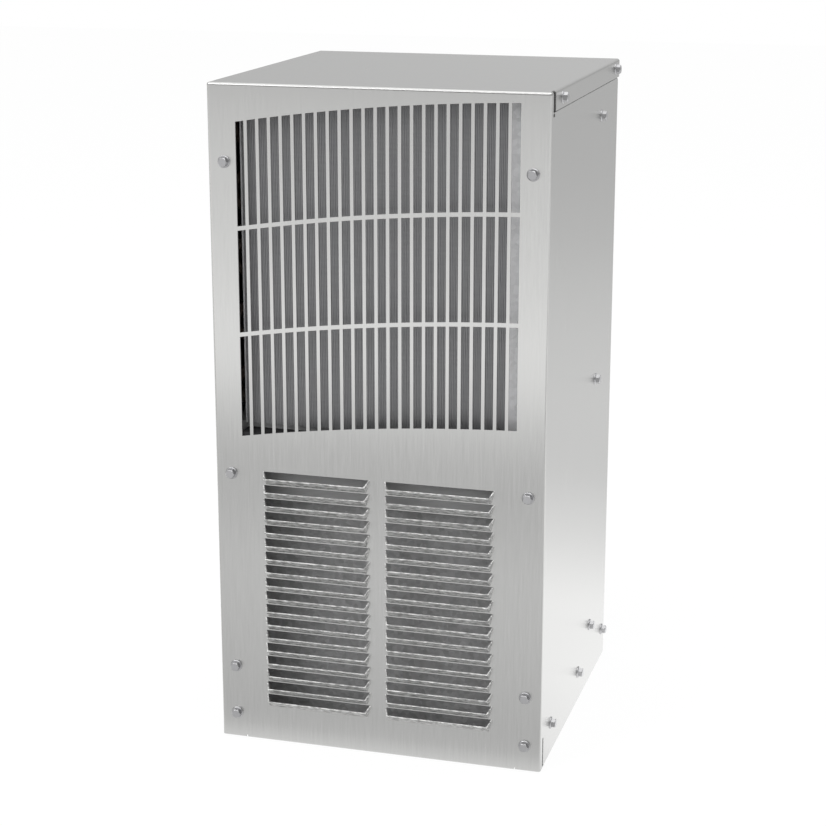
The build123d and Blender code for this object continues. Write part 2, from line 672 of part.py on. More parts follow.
def mount_sites():
    return [(side * MOUNT_X, MOUNT_Z + rise) for side in (-1, 1) for rise in (-MOUNT_RISE, 0, MOUNT_RISE)]


def rear_panel():
    panel = block(-FRAME_X, FRAME_X, REAR_IN, 0, 0, FRAME_TOP)
    panel = fillet(panel.edges().filter_by(Axis.Z).sort_by(Axis.Y)[-2:], FRAME_SHEET / 2)
    panel += both_sides(block(FRAME_IN, FRAME_X, -REAR_FLANGE, REAR_IN, PAN_TOP + FIT_GAP, FRAME_TOP))
    foot_half = HALF - BOTTOM_FLANGE - 2
    panel += block(-foot_half, foot_half, -REAR_FLANGE, REAR_IN, 0, COVER_SHEET)
    half_w = WARM_INLET_WIDTH / 2
    half_h = WARM_INLET_HEIGHT / 2
    cuts = [
        block(-half_w, half_w, REAR_IN - 1, 1, WARM_INLET_Z - half_h, WARM_INLET_Z + half_h),
        block(-RECESS_WIDTH / 2, RECESS_WIDTH / 2, REAR_IN - 1, 1,
              RECESS_Z - RECESS_HEIGHT / 2, RECESS_Z + RECESS_HEIGHT / 2),
        rod((0, REAR_IN - 1, OUTLET_Z), "+y", OUTLET_R, FRAME_SHEET + 2),
    ]
    cuts += [rod((x, REAR_IN - 1, z), "+y", MOUNT_HOLE_R, FRAME_SHEET + 2) for x, z in mount_sites()]
    cuts += [rod((x, REAR_IN - 1, z), "+y", BOLT_R + TOUCH_GAP, FRAME_SHEET + 2)
             for x, z in outlet_hole_sites()]
    return panel - (cuts + frame_holes())


def mounting_nuts():
    return [ring((x, REAR_IN, z), "-y", MOUNT_NUT_R, MOUNT_HOLE_R, MOUNT_NUT_LENGTH)
            for x, z in mount_sites()]


def mounting_gasket():
    low, high = GASKET_MARGIN, HEIGHT - GASKET_MARGIN
    outer = block(-GASKET_HALF_WIDTH, GASKET_HALF_WIDTH, 0, GASKET_THICK, low, high)
    inner_x = GASKET_HALF_WIDTH - GASKET_BAND
    return outer - block(-inner_x, inner_x, -1, GASKET_THICK + 1, low + GASKET_BAND, high - GASKET_BAND)


def condenser_tube_z(row):
    return DECK_Z + (row + 0.5) * TUBE_PITCH


def evaporator_tube_z(row):
    return EVAPORATOR_Z + (row + 0.5) * TUBE_PITCH


def fin_pack(x0, x1, y0, z0, rows):
    """Upright fins on a core that the tubes run through."""
    y1 = y0 + FIN_DEPTH
    core0 = y0 + (FIN_DEPTH - FIN_SPINE) / 2
    core1 = core0 + FIN_SPINE
    count = int((x1 - x0 - FIN_THICK) / FIN_PITCH) + 1
    pitch = (x1 - x0 - FIN_THICK) / (count - 1)
    front, back = [], []
    for i in range(count):
        left = x0 + i * pitch
        right = left + FIN_THICK
        if i:
            front.append((left, core0))
            back.append((left, core1))
        front += [(left, y0), (right, y0)]
        back += [(left, y1), (right, y1)]
        if i < count - 1:
            front.append((right, core0))
            back.append((right, core1))
    pack = plan_plate(front + back[::-1], z0, z0 + rows * TUBE_PITCH)
    bore = TUBE_OD / 2 + TOUCH_GAP
    return pack - [rod((x0 - 1, y0 + FIN_DEPTH / 2, z0 + (row + 0.5) * TUBE_PITCH), "+x", bore, x1 - x0 + 2)
                   for row in range(rows)]


def serpentine(x0, x1, y, z0, rows):
    """One tube that runs to and fro, with its two ends on the right."""
    bend = TUBE_PITCH / 2 - 0.05
    left = x0 - bend
    right = x1 + bend
    points = [(x1 + STUB_REACH, y, z0 + (rows - 0.5) * TUBE_PITCH)]
    for row in reversed(range(rows)):
        z = z0 + (row + 0.5) * TUBE_PITCH
        going_left = (rows - 1 - row) % 2 == 0
        if row < rows - 1:
            points.append((right if going_left else left, y, z))
        if row:
            points.append((left if going_left else right, y, z))
    points.append((x1 + STUB_REACH, y, z0 + 0.5 * TUBE_PITCH))
    return pipe(points, bend, TUBE_OD, TUBE_WALL)


def tube_holes(x0, x1, y, z0, rows):
    bore = TUBE_OD / 2 + TOUCH_GAP
    return [rod((x0, y, z0 + (row + 0.5) * TUBE_PITCH), "+x", bore, x1 - x0) for row in range(rows)]


def condenser_fins():
    return fin_pack(CONDENSER_LEFT, CONDENSER_RIGHT, CONDENSER_FRONT, DECK_Z, CONDENSER_TUBES)


def condenser_left_plate():
    right = CONDENSER_LEFT - CONDENSER_PLATE_GAP
    left = right - FRAME_SHEET
    plate = block(left, right, CONDENSER_FRONT, CONDENSER_BACK, DECK_Z, CONDENSER_TOP)
    return plate - tube_holes(left - 1, right + 1, CONDENSER_TUBE_Y, DECK_Z, CONDENSER_TUBES)


def condenser_right_plate():
    left = CONDENSER_RIGHT + FIT_GAP
    right = left + FRAME_SHEET
    plate = block(left, right, CONDENSER_FRONT, CONDENSER_BACK, DECK_Z, CONDENSER_TOP)
    plate += block(left, left + CONDENSER_RIGHT_LIP, CONDENSER_FRONT - PLATE_OVER, CONDENSER_FRONT,
                   DECK_Z, CONDENSER_TOP)
    return plate - tube_holes(left - 1, right + 1, CONDENSER_TUBE_Y, DECK_Z, CONDENSER_TUBES)


def condenser_tube():
    left = CONDENSER_LEFT - CONDENSER_PLATE_GAP - FRAME_SHEET
    right = CONDENSER_RIGHT + FIT_GAP + FRAME_SHEET
    return serpentine(left, right, CONDENSER_TUBE_Y, DECK_Z, CONDENSER_TUBES)


def condenser_stub_x():
    return CONDENSER_RIGHT + FIT_GAP + FRAME_SHEET + STUB_REACH


def evaporator_stub_x():
    return EVAPORATOR_RIGHT + FIT_GAP + FRAME_SHEET + STUB_REACH


def fan_deck():
    under = DECK_Z - FRAME_SHEET
    rear = BULKHEAD_Y - FIT_GAP
    deck = block(-FRAME_X, FRAME_X, DECK_FRONT, rear, under, DECK_Z)
    step_back = DECK_FRONT + DECK_STEP
    deck += block(-FRAME_X, FRAME_X, DECK_FRONT, DECK_FRONT + FRAME_SHEET, DECK_LOW, under)
    deck += block(-FRAME_X, FRAME_X, DECK_FRONT, step_back, DECK_LOW, DECK_LOW + FRAME_SHEET)
    deck += block(-FRAME_X, FRAME_X, step_back - FRAME_SHEET, step_back, DECK_LOW - DECK_SKIRT, DECK_LOW)
    deck += block(-FRAME_X, FRAME_X, rear - FRAME_SHEET, rear, DECK_Z, DECK_Z + DECK_RISE)
    hole_x = HALF - DECK_HOLE_MARGIN
    hole_r = TUBE_OD / 2 + PASS_CLEARANCE
    return deck - [
        block(-hole_x, hole_x, FRONT + DECK_HOLE_FRONT, DECK_HOLE_REAR, under - 1, DECK_Z + 1),
        rod((LINE_RUN_X, DISCHARGE_Y, under - 1), "+z", hole_r, FRAME_SHEET + 2),
        rod((DRIER_X, DRIER_Y, under - 1), "+z", hole_r, FRAME_SHEET + 2),
        rod((SUCTION_X, SUCTION_Y, under - 1), "+z", hole_r, FRAME_SHEET + 2),
    ]


def deck_seal():
    return block(-SEAL_HALF, SEAL_HALF, INNER_FRONT + FIT_GAP, DECK_FRONT - FIT_GAP,
                 SEAL_BOTTOM, SEAL_BOTTOM + SEAL_HEIGHT)


def louvre_baffle():
    left = -HALF + BAFFLE_LEFT_MARGIN
    right = HALF - BAFFLE_RIGHT_MARGIN
    back = BAFFLE_Y + FRAME_SHEET
    sheet = block(left, right, BAFFLE_Y, back, PAN_TOP, BAFFLE_TOP)
    return sheet + block(left, right, back, BAFFLE_Y + BAFFLE_FOOT, PAN_TOP, PAN_TOP + FRAME_SHEET)


def fan_shroud():
    left = CONDENSER_LEFT - CONDENSER_PLATE_GAP - FRAME_SHEET
    right = CONDENSER_RIGHT + FIT_GAP + FRAME_SHEET
    plate = block(left, right, SHROUD_Y, SHROUD_Y + FRAME_SHEET, DECK_Z, CONDENSER_TOP)
    centre = (FAN_X, SHROUD_Y, FAN_Z)
    plate += rod(centre, "+y", RING_R + FRAME_SHEET, RING_DEPTH)
    return plate - rod((FAN_X, SHROUD_Y - 1, FAN_Z), "+y", RING_R, RING_DEPTH + 2)


def axial_wheel(centre, hub_r, tip_r, width, blades, bore):
    """Fan wheel about an axis along Y, with pitched blades between hub and tip."""
    length = tip_r - hub_r + 6
    chord = 2 * math.pi * (hub_r + tip_r) / 2 / blades * 0.78
    flat = Box(length, BLADE_THICK, chord)
    blade = Pos((hub_r - 4) + length / 2, 0, 0) * Rot(FAN_PITCH_DEG, 0, 0) * flat
    wheel = [Rot(0, i * 360 / blades, 0) * blade for i in range(blades)]
    swept = Part() + wheel
    envelope = ring((0, -width / 2, 0), "+y", tip_r, hub_r - 1, width)
    wheel = (swept & envelope) + rod((0, -width / 2, 0), "+y", hub_r, width)
    wheel -= rod((0, -width / 2 - 1, 0), "+y", bore, width + 2)
    return Pos(*centre) * wheel


def condenser_fan_blades():
    centre = (FAN_X, SHROUD_Y + FRAME_SHEET + FAN_WIDTH / 2, FAN_Z)
    return axial_wheel(centre, FAN_HUB_R, FAN_TIP_R, FAN_WIDTH, FAN_BLADES, SHAFT_R + 0.02)


def condenser_fan_shaft():
    front = SHROUD_Y + FRAME_SHEET - 0.5
    return rod((FAN_X, front, FAN_Z), "+y", SHAFT_R, MOTOR_Y + MOTOR_BORE_DEPTH - 1 - front)


def condenser_fan_motor():
    can = rod((FAN_X, MOTOR_Y, FAN_Z), "+y", MOTOR_R, MOTOR_LENGTH)
    can = fillet(can.edges().filter_by(GeomType.CIRCLE), 4)
    waist = ring((FAN_X, MOTOR_Y + MOTOR_LENGTH * 0.36, FAN_Z), "+y",
                 MOTOR_R + 1, MOTOR_R - 1.5, MOTOR_LENGTH * 0.28)
    nose = rod((FAN_X, MOTOR_Y - 2, FAN_Z), "+y", 9, 4)
    can = can - waist + nose
    return can - rod((FAN_X, MOTOR_Y - 3, FAN_Z), "+y", SHAFT_R + SHAFT_RUNNING, MOTOR_BORE_DEPTH + 3)


def condenser_motor_bracket():
    """Hat-shaped strap from the shroud round the back of the motor."""
    back = MOTOR_Y + MOTOR_LENGTH + FIT_GAP
    foot = SHROUD_Y + FRAME_SHEET
    x0, x1 = FAN_X - BRACKET_HALF_WIDTH, FAN_X + BRACKET_HALF_WIDTH
    strap = block(x0, x1, back, back + FRAME_SHEET, FAN_Z - BRACKET_RISE, FAN_Z + BRACKET_RISE)
    for way in (-1, 1):
        z = FAN_Z + way * BRACKET_RISE
        strap += block(x0, x1, foot, back + FRAME_SHEET, z, z - way * FRAME_SHEET)
        strap += block(x0, x1, foot, foot + FRAME_SHEET, z, z + way * BRACKET_FOOT)
    return strap


def ear_centres():
    turns = [math.radians(angle) for angle in EAR_ANGLES]
    return [(COMPRESSOR_X + EAR_R * math.cos(a), COMPRESSOR_Y + EAR_R * math.sin(a)) for a in turns]


def compressor_base():
    z0 = PAN_TOP + GROMMET_HEIGHT
    pads = [rod((x, y, z0), "+z", EAR_PAD_R, BASE_THICK) for x, y in ear_centres()]
    plate = rod((COMPRESSOR_X, COMPRESSOR_Y, z0), "+z", COMPRESSOR_R - 4, BASE_THICK) + pads
    for angle in EAR_ANGLES:
        arm = Pos(COMPRESSOR_X, COMPRESSOR_Y, z0 + BASE_THICK / 2) * Rot(0, 0, angle)
        plate += arm * Pos(EAR_R / 2, 0, 0) * Box(EAR_R, 2 * EAR_PAD_R, BASE_THICK)
    holes = [rod((x, y, z0 - 1), "+z", STUD_R + FIT_GAP, BASE_THICK + 2) for x, y in ear_centres()]
    return plate - holes


def compressor():
    z0 = PAN_TOP + GROMMET_HEIGHT + BASE_THICK
    shell = rod((COMPRESSOR_X, COMPRESSOR_Y, z0), "+z", COMPRESSOR_R, COMPRESSOR_TOP - z0)
    shell = fillet(shell.edges().filter_by(GeomType.CIRCLE), COMPRESSOR_ROUND)
    seam_z = z0 + (COMPRESSOR_TOP - z0) * 0.55
    return shell + rod((COMPRESSOR_X, COMPRESSOR_Y, seam_z), "+z", COMPRESSOR_R + 1.5, 4)


def compressor_grommets():
    bore = STUD_R + FIT_GAP
    return [ring((x, y, PAN_TOP), "+z", GROMMET_R, bore, GROMMET_HEIGHT) for x, y in ear_centres()]


def compressor_studs():
    """Studs welded into the pan, each with its nut."""
    base_top = PAN_TOP + GROMMET_HEIGHT + BASE_THICK
    length = base_top + STUD_NUT_HEIGHT + 2 - PAN_Z
    return [rod((x, y, PAN_Z), "+z", STUD_R, length)
            + hexagon((x, y, base_top), "+z", STUD_NUT_AF, STUD_NUT_HEIGHT) for x, y in ear_centres()]


def compressor_terminal_cover():
    reach = COMPRESSOR_R + 16
    cover = block(COMPRESSOR_X, COMPRESSOR_X + reach, COMPRESSOR_Y - 15, COMPRESSOR_Y + 15,
                  TERMINAL_COVER_LOW, TERMINAL_COVER_HIGH)
    cover = fillet(cover.edges().sort_by(Axis.X)[-4:], 5)
    return cover - rod((COMPRESSOR_X, COMPRESSOR_Y, PAN_TOP), "+z", COMPRESSOR_R + TOUCH_GAP, COMPRESSOR_TOP)


def discharge_line():
    x = COMPRESSOR_X + PORT_SPREAD
    top = condenser_tube_z(CONDENSER_TUBES - 1)
    return pipe([
        (x, COMPRESSOR_Y, COMPRESSOR_TOP),
        (x, COMPRESSOR_Y, DISCHARGE_Z),
        (LINE_RUN_X, COMPRESSOR_Y, DISCHARGE_Z),
        (LINE_RUN_X, DISCHARGE_Y, DISCHARGE_Z),
        (LINE_RUN_X, DISCHARGE_Y, top),
        (LINE_RUN_X, CONDENSER_TUBE_Y, top),
        (condenser_stub_x(), CONDENSER_TUBE_Y, top),
    ], LINE_BEND, TUBE_OD, TUBE_WALL)


def suction_line():
    x = COMPRESSOR_X - PORT_SPREAD
    top = evaporator_tube_z(EVAPORATOR_TUBES - 1)
    return pipe([
        (evaporator_stub_x(), EVAPORATOR_TUBE_Y, top),
        (SUCTION_X, EVAPORATOR_TUBE_Y, top),
        (SUCTION_X, SUCTION_Y, top),
        (SUCTION_X, SUCTION_Y, SUCTION_Z),
        (x, SUCTION_Y, SUCTION_Z),
        (x, COMPRESSOR_Y, SUCTION_Z),
        (x, COMPRESSOR_Y, COMPRESSOR_TOP),
    ], LINE_BEND, TUBE_OD, TUBE_WALL)


def liquid_line():
    low = condenser_tube_z(0)
    return pipe([
        (condenser_stub_x(), CONDENSER_TUBE_Y, low),
        (DRIER_X, CONDENSER_TUBE_Y, low),
        (DRIER_X, DRIER_Y, low),
        (DRIER_X, DRIER_Y, DRIER_BOTTOM + DRIER_LENGTH),
    ], LINE_BEND, TUBE_OD, TUBE_WALL)


def filter_drier():
    neck_r = TUBE_OD / 2
    top = DRIER_BOTTOM + DRIER_LENGTH
    outline = [
        (0, DRIER_BOTTOM), (neck_r, DRIER_BOTTOM), (neck_r, DRIER_BOTTOM + DRIER_NECK / 2),
        (DRIER_R, DRIER_BOTTOM + DRIER_NECK), (DRIER_R, top - DRIER_NECK),
        (neck_r, top - DRIER_NECK / 2), (neck_r, top), (0, top),
    ]
    face = make_face(Polyline(*[(x, 0, z) for x, z in outline], close=True))
    return Pos(DRIER_X, DRIER_Y, 0) * revolve(face, axis=Axis.Z)


def capillary_tube():
    low = evaporator_tube_z(0)
    end_x = evaporator_stub_x()
    line = pipe([
        (DRIER_X, DRIER_Y, DRIER_BOTTOM),
        (DRIER_X, DRIER_Y, CAPILLARY_LOW),
        (DRIER_X, SUCTION_Y, CAPILLARY_LOW),
        (DRIER_X, SUCTION_Y, CAPILLARY_PASS_Z),
        (DRIER_X, CAPILLARY_REAR_Y, CAPILLARY_PASS_Z),
        (DRIER_X, CAPILLARY_REAR_Y, low),
        (DRIER_X, EVAPORATOR_TUBE_Y, low),
        (end_x, EVAPORATOR_TUBE_Y, low),
    ], LINE_BEND, CAPILLARY_OD, CAPILLARY_OD / 2 - 0.4)
    union = ring((end_x, EVAPORATOR_TUBE_Y, low), "+x", TUBE_OD / 2, CAPILLARY_OD / 2 - 0.2, 5)
    return line + union


def evaporator_fins():
    return fin_pack(EVAPORATOR_LEFT, EVAPORATOR_RIGHT, EVAPORATOR_FRONT, EVAPORATOR_Z, EVAPORATOR_TUBES)


def evaporator_end_plates():
    plates = []
    for x0 in (EVAPORATOR_LEFT - FIT_GAP - FRAME_SHEET, EVAPORATOR_RIGHT + FIT_GAP):
        x1 = x0 + FRAME_SHEET
        plate = block(x0, x1, EVAPORATOR_FRONT, EVAPORATOR_REAR,
                      TRAY_FLOOR + FRAME_SHEET, EVAPORATOR_TOP + 2)
        holes = tube_holes(x0 - 1, x1 + 1, EVAPORATOR_TUBE_Y, EVAPORATOR_Z, EVAPORATOR_TUBES)
        plates.append(plate - holes)
    return plates


def evaporator_tube():
    left = EVAPORATOR_LEFT - FIT_GAP - FRAME_SHEET
    right = EVAPORATOR_RIGHT + FIT_GAP + FRAME_SHEET
    return serpentine(left, right, EVAPORATOR_TUBE_Y, EVAPORATOR_Z, EVAPORATOR_TUBES)


def drain_tray():
    rear = REAR_IN - FIT_GAP
    outer = block(TRAY_LEFT, TRAY_RIGHT, TRAY_FRONT, rear, TRAY_FLOOR, TRAY_FLOOR + TRAY_WALL)
    inner = block(TRAY_LEFT + FRAME_SHEET, TRAY_RIGHT - FRAME_SHEET,
                  TRAY_FRONT + FRAME_SHEET, rear - FRAME_SHEET,
                  TRAY_FLOOR + FRAME_SHEET, TRAY_FLOOR + TRAY_WALL + 1)
    drain = rod((DRAIN_X, DRAIN_Y, TRAY_FLOOR - 1), "+z", DRAIN_R - FRAME_SHEET, FRAME_SHEET + 2)
    return outer - inner - drain


def drain_tube():
    tube = ring((DRAIN_X, DRAIN_Y, RAW_EDGE_LIFT), "+z", DRAIN_R, DRAIN_R - FRAME_SHEET,
                TRAY_FLOOR - RAW_EDGE_LIFT)
    return tube + ring((DRAIN_X, DRAIN_Y, TRAY_FLOOR - 3), "+z", DRAIN_R + 2, DRAIN_R - FRAME_SHEET, 3)


def outlet_fan_rear():
    return -OUTLET_FAN_SET


def outlet_fan_front():
    return -OUTLET_FAN_SET - OUTLET_FAN_DEPTH


def evaporator_fan_frame():
    half = OUTLET_FAN_SIDE / 2
    front, rear = outlet_fan_front(), outlet_fan_rear()
    frame = block(-half, half, front, rear, OUTLET_Z - half, OUTLET_Z + half)
    frame = fillet(frame.edges().filter_by(Axis.Y), 5)
    frame -= rod((0, front - 1, OUTLET_Z), "+y", OUTLET_R, OUTLET_FAN_DEPTH + 2)
    base = rod((0, front, OUTLET_Z), "+y", OUTLET_HUB_R, 3) + rod((0, front, OUTLET_Z), "+y", 7, 20)
    for angle in (45, 135, 225, 315):
        strut = Pos((OUTLET_HUB_R + OUTLET_R) / 2, 0, 0) * Box(OUTLET_R - OUTLET_HUB_R + 6, 3, 5)
        base += Pos(0, front + 1.5, OUTLET_Z) * Rot(0, angle, 0) * strut
    frame += base
    bolts = [rod((x, front - 1, z), "+y", BOLT_R + FIT_GAP, OUTLET_FAN_DEPTH + 2)
             for x, z in outlet_hole_sites()]
    return frame - (bolts + [rod((0, front + 1, OUTLET_Z), "+y", SHAFT_R + SHAFT_RUNNING, 30)])


def evaporator_fan_rotor():
    width = OUTLET_FAN_DEPTH - 9
    rear = outlet_fan_rear() - 2
    centre = (0, rear - width / 2, OUTLET_Z)
    wheel = axial_wheel(centre, OUTLET_HUB_R, OUTLET_R - 2, width, OUTLET_BLADES, SHAFT_R + 0.02)
    return wheel - rod((0, rear - width - 1, OUTLET_Z), "+y", OUTLET_HUB_R - 2.5, width - 2)


def evaporator_fan_shaft():
    front = outlet_fan_front() + 1.2
    return rod((0, front, OUTLET_Z), "+y", SHAFT_R, outlet_fan_rear() - 2.5 - front)


def outlet_guard():
    y = outlet_fan_rear() + GUARD_WIRE_R
    at = Pos(0, y, OUTLET_Z) * Rot(90, 0, 0)
    guard = Part() + [at * Torus(r, GUARD_WIRE_R) for r in GUARD_RINGS]
    reach = OUTLET_HOLE_PITCH / 2 * math.sqrt(2)
    for angle in (45, 135, 225, 315):
        wire = Pos(0, y, OUTLET_Z) * Rot(0, angle, 0) * TURN["+x"] * Pos(0, 0, GUARD_RINGS[0]) \
            * Cylinder(GUARD_WIRE_R, reach - GUARD_RINGS[0] - BOLT_R - 1.5, align=CENTRED)
        guard += wire
    for x, z in outlet_hole_sites():
        guard += ring((x, outlet_fan_rear(), z), "+y", BOLT_R + 3, BOLT_R + FIT_GAP, 2 * GUARD_WIRE_R)
    return guard


def outlet_spacers():
    start = outlet_fan_rear() + 2 * GUARD_WIRE_R
    return [ring((x, start, z), "+y", BOLT_R + 2.5, BOLT_R + FIT_GAP, REAR_IN - start)
            for x, z in outlet_hole_sites()]


def outlet_bolts():
    front = outlet_fan_front()
    return [rod((x, front, z), "+y", BOLT_R, -0.2 - front) + hexagon((x, front, z), "-y", 7.0, 3.0)
            for x, z in outlet_hole_sites()]


def control_tray():
    """Recessed box behind the rear panel that holds the controls."""
    w, h = RECESS_WIDTH / 2, RECESS_HEIGHT / 2
    sheet = FRAME_SHEET
    front = REAR_IN - FIT_GAP
    outer = block(-w - sheet, w + sheet, RECESS_FLOOR - sheet, front,
                  RECESS_Z - h - sheet, RECESS_Z + h + sheet)
    lap = RECESS_LAP
    outer += block(-w - lap, w + lap, front - sheet, front, RECESS_Z - h - lap, RECESS_Z + h + lap)
    tray = outer - block(-w, w, RECESS_FLOOR, 1, RECESS_Z - h, RECESS_Z + h)
    under = RECESS_FLOOR - sheet - 1
    return tray - [
        rod((KNOB_X, under, RECESS_Z), "+y", SPINDLE_R + 1, sheet + 2),
        rod((RESET_X, under, RESET_Z), "+y", RESET_BEZEL_R - 1.5, sheet + 2),
        rod((GLAND_X, under, GLAND_Z), "+y", GLAND_R - 2, sheet + 2),
    ]


def thermostat_body():
    back = RECESS_FLOOR - FRAME_SHEET
    body = block(KNOB_X - 20, KNOB_X + 20, back - BODY_DEPTH, back, RECESS_Z - 20, RECESS_Z + 20)
    body = fillet(body.edges().filter_by(Axis.Y), 2)
    body += rod((KNOB_X, back, RECESS_Z), "+y", SPINDLE_R + 0.8, FRAME_SHEET)
    return body - rod((KNOB_X, back - 8, RECESS_Z), "+y", SPINDLE_R + SHAFT_RUNNING, 12)


def thermostat_dial():
    plate = rod((KNOB_X, RECESS_FLOOR, RECESS_Z), "+y", DIAL_R, DIAL_THICK)
    for step in range(-5, 6):
        angle = math.radians(90 + step * 27)
        mark = Pos(KNOB_X, RECESS_FLOOR + DIAL_THICK, RECESS_Z) * Rot(0, -math.degrees(angle), 0) \
            * Pos(DIAL_R - 3, 0, 0) * Box(3.6, 0.4, 0.8)
        plate -= mark
    return plate - rod((KNOB_X, RECESS_FLOOR - 1, RECESS_Z), "+y", SPINDLE_R + 1, 4)


def thermostat_knob():
    low = RECESS_FLOOR + DIAL_THICK + 0.4
    knob = rod((KNOB_X, low, RECESS_Z), "+y", KNOB_R, KNOB_HEIGHT)
    knob = fillet(knob.edges().filter_by(GeomType.CIRCLE).sort_by(Axis.Y)[-1], 1.5)
    flutes = [rod((KNOB_X + (KNOB_R + 0.8) * math.cos(a), low + 3, RECESS_Z + (KNOB_R + 0.8) * math.sin(a)),
                  "+y", 1.6, KNOB_HEIGHT)
              for a in (math.radians(15 + 30 * i) for i in range(12))]
    knob -= flutes
    top = low + KNOB_HEIGHT
    knob -= block(KNOB_X - 0.7, KNOB_X + 0.7, top - 0.8, top + 1, RECESS_Z + 3, RECESS_Z + KNOB_R)
    spindle_start = RECESS_FLOOR - FRAME_SHEET - 7
    return knob + rod((KNOB_X, spindle_start, RECESS_Z), "+y", SPINDLE_R, low - spindle_start + 1)


def thermostat_bulb():
    """Sensing bulb clipped across the warm side of the evaporator."""
    z = EVAPORATOR_Z + EVAPORATOR_TUBES * TUBE_PITCH / 2
    y = EVAPORATOR_REAR + FIT_GAP + BULB_R
    bulb = rod((-BULB_LENGTH / 2, y, z), "+x", BULB_R, BULB_LENGTH)
    return fillet(bulb.edges().filter_by(GeomType.CIRCLE), 2)


def reset_switch():
    back = RECESS_FLOOR - FRAME_SHEET
    body = rod((RESET_X, back - 20, RESET_Z), "+y", RESET_BEZEL_R + 1.5, 20)
    body += rod((RESET_X, back, RESET_Z), "+y", RESET_BEZEL_R - 1.8, FRAME_SHEET + 2)
    body += rod((RESET_X, RECESS_FLOOR, RESET_Z), "+y", RESET_BEZEL_R, 3)
    return body - rod((RESET_X, back - 10, RESET_Z), "+y", RESET_R + SHAFT_RUNNING, 20)


def reset_button():
    back = RECESS_FLOOR - FRAME_SHEET - 10
    front = RECESS_FLOOR + 3 + RESET_TRAVEL + 1
    start = back + RESET_TRAVEL + 0.5
    button = rod((RESET_X, start, RESET_Z), "+y", RESET_R, front - start)
    return fillet(button.edges().filter_by(GeomType.CIRCLE).sort_by(Axis.Y)[-1], 0.8)


def terminal_block():
    w, h = TERMINAL_WIDTH / 2, TERMINAL_HEIGHT / 2
    top = RECESS_FLOOR + 11
    body = block(TERMINAL_X - w, TERMINAL_X + w, RECESS_FLOOR, top, TERMINAL_Z - h, TERMINAL_Z + h)
    pitch = TERMINAL_WIDTH / TERMINAL_POLES
    for pole in range(1, TERMINAL_POLES):
        x = TERMINAL_X - w + pole * pitch
        body += block(x - 0.7, x + 0.7, top, top + 3, TERMINAL_Z - h, TERMINAL_Z + h)
    return body - [rod((x, top - 4, z), "+y", 2.7, 8) for x, z in terminal_sites()]


def terminal_sites():
    pitch = TERMINAL_WIDTH / TERMINAL_POLES
    first = TERMINAL_X - TERMINAL_WIDTH / 2 + pitch / 2
    return [(first + pole * pitch, TERMINAL_Z + side * TERMINAL_HEIGHT / 4)
            for pole in range(TERMINAL_POLES) for side in (-1, 1)]


def terminal_screws():
    start = RECESS_FLOOR + 7
    screws = []
    for x, z in terminal_sites():
        head = rod((x, start, z), "+y", 2.6, 3)
        screws.append(head - block(x - 3, x + 3, start + 2, start + 4, z - 0.4, z + 0.4))
    return screws


def power_gland():
    """Cable gland with an empty bore, locked behind the tray's floor."""
    gland = rod((GLAND_X, RECESS_FLOOR - FRAME_SHEET, GLAND_Z), "+y", GLAND_R - 2.1, FRAME_SHEET)
    gland += hexagon((GLAND_X, RECESS_FLOOR, GLAND_Z), "+y", 2 * GLAND_R - 1, 5)
    dome = rod((GLAND_X, RECESS_FLOOR + 5, GLAND_Z), "+y", GLAND_R - 1.4, 8)
    gland += fillet(dome.edges().filter_by(GeomType.CIRCLE).sort_by(Axis.Y)[-1], 2)
    gland += hexagon((GLAND_X, RECESS_FLOOR - FRAME_SHEET, GLAND_Z), "-y", 2 * GLAND_R - 1, 5)
    return gland - rod((GLAND_X, RECESS_FLOOR - 10, GLAND_Z), "+y", GLAND_BORE_R, 30)


def run_capacitor():
    can = rod((CAPACITOR_X, CAPACITOR_Y, PAN_TOP), "+z", CAPACITOR_R, CAPACITOR_HEIGHT)
    can = fillet(can.edges().filter_by(GeomType.CIRCLE).sort_by(Axis.Z)[-1], 2)
    top = PAN_TOP + CAPACITOR_HEIGHT
    for side in (-1, 1):
        can += block(CAPACITOR_X + side * 6 - 3, CAPACITOR_X + side * 6 + 3,
                     CAPACITOR_Y - 0.4, CAPACITOR_Y + 0.4, top - 0.5, top + 8)
    return can


def capacitor_strap():
    """Band round the capacitor with a foot on the pan."""
    z0 = PAN_TOP + 18
    inner = CAPACITOR_R + TOUCH_GAP
    band = ring((CAPACITOR_X, CAPACITOR_Y, z0), "+z", inner + FRAME_SHEET, inner, 14)
    foot_x = CAPACITOR_X + inner
    band += block(foot_x, foot_x + FRAME_SHEET, CAPACITOR_Y - 7, CAPACITOR_Y + 7, PAN_TOP, z0 + 14)
    band += block(foot_x, foot_x + 14, CAPACITOR_Y - 7, CAPACITOR_Y + 7, PAN_TOP, PAN_TOP + FRAME_SHEET)
    return band - rod((CAPACITOR_X, CAPACITOR_Y, PAN_TOP - 1), "+z", inner, CAPACITOR_HEIGHT)


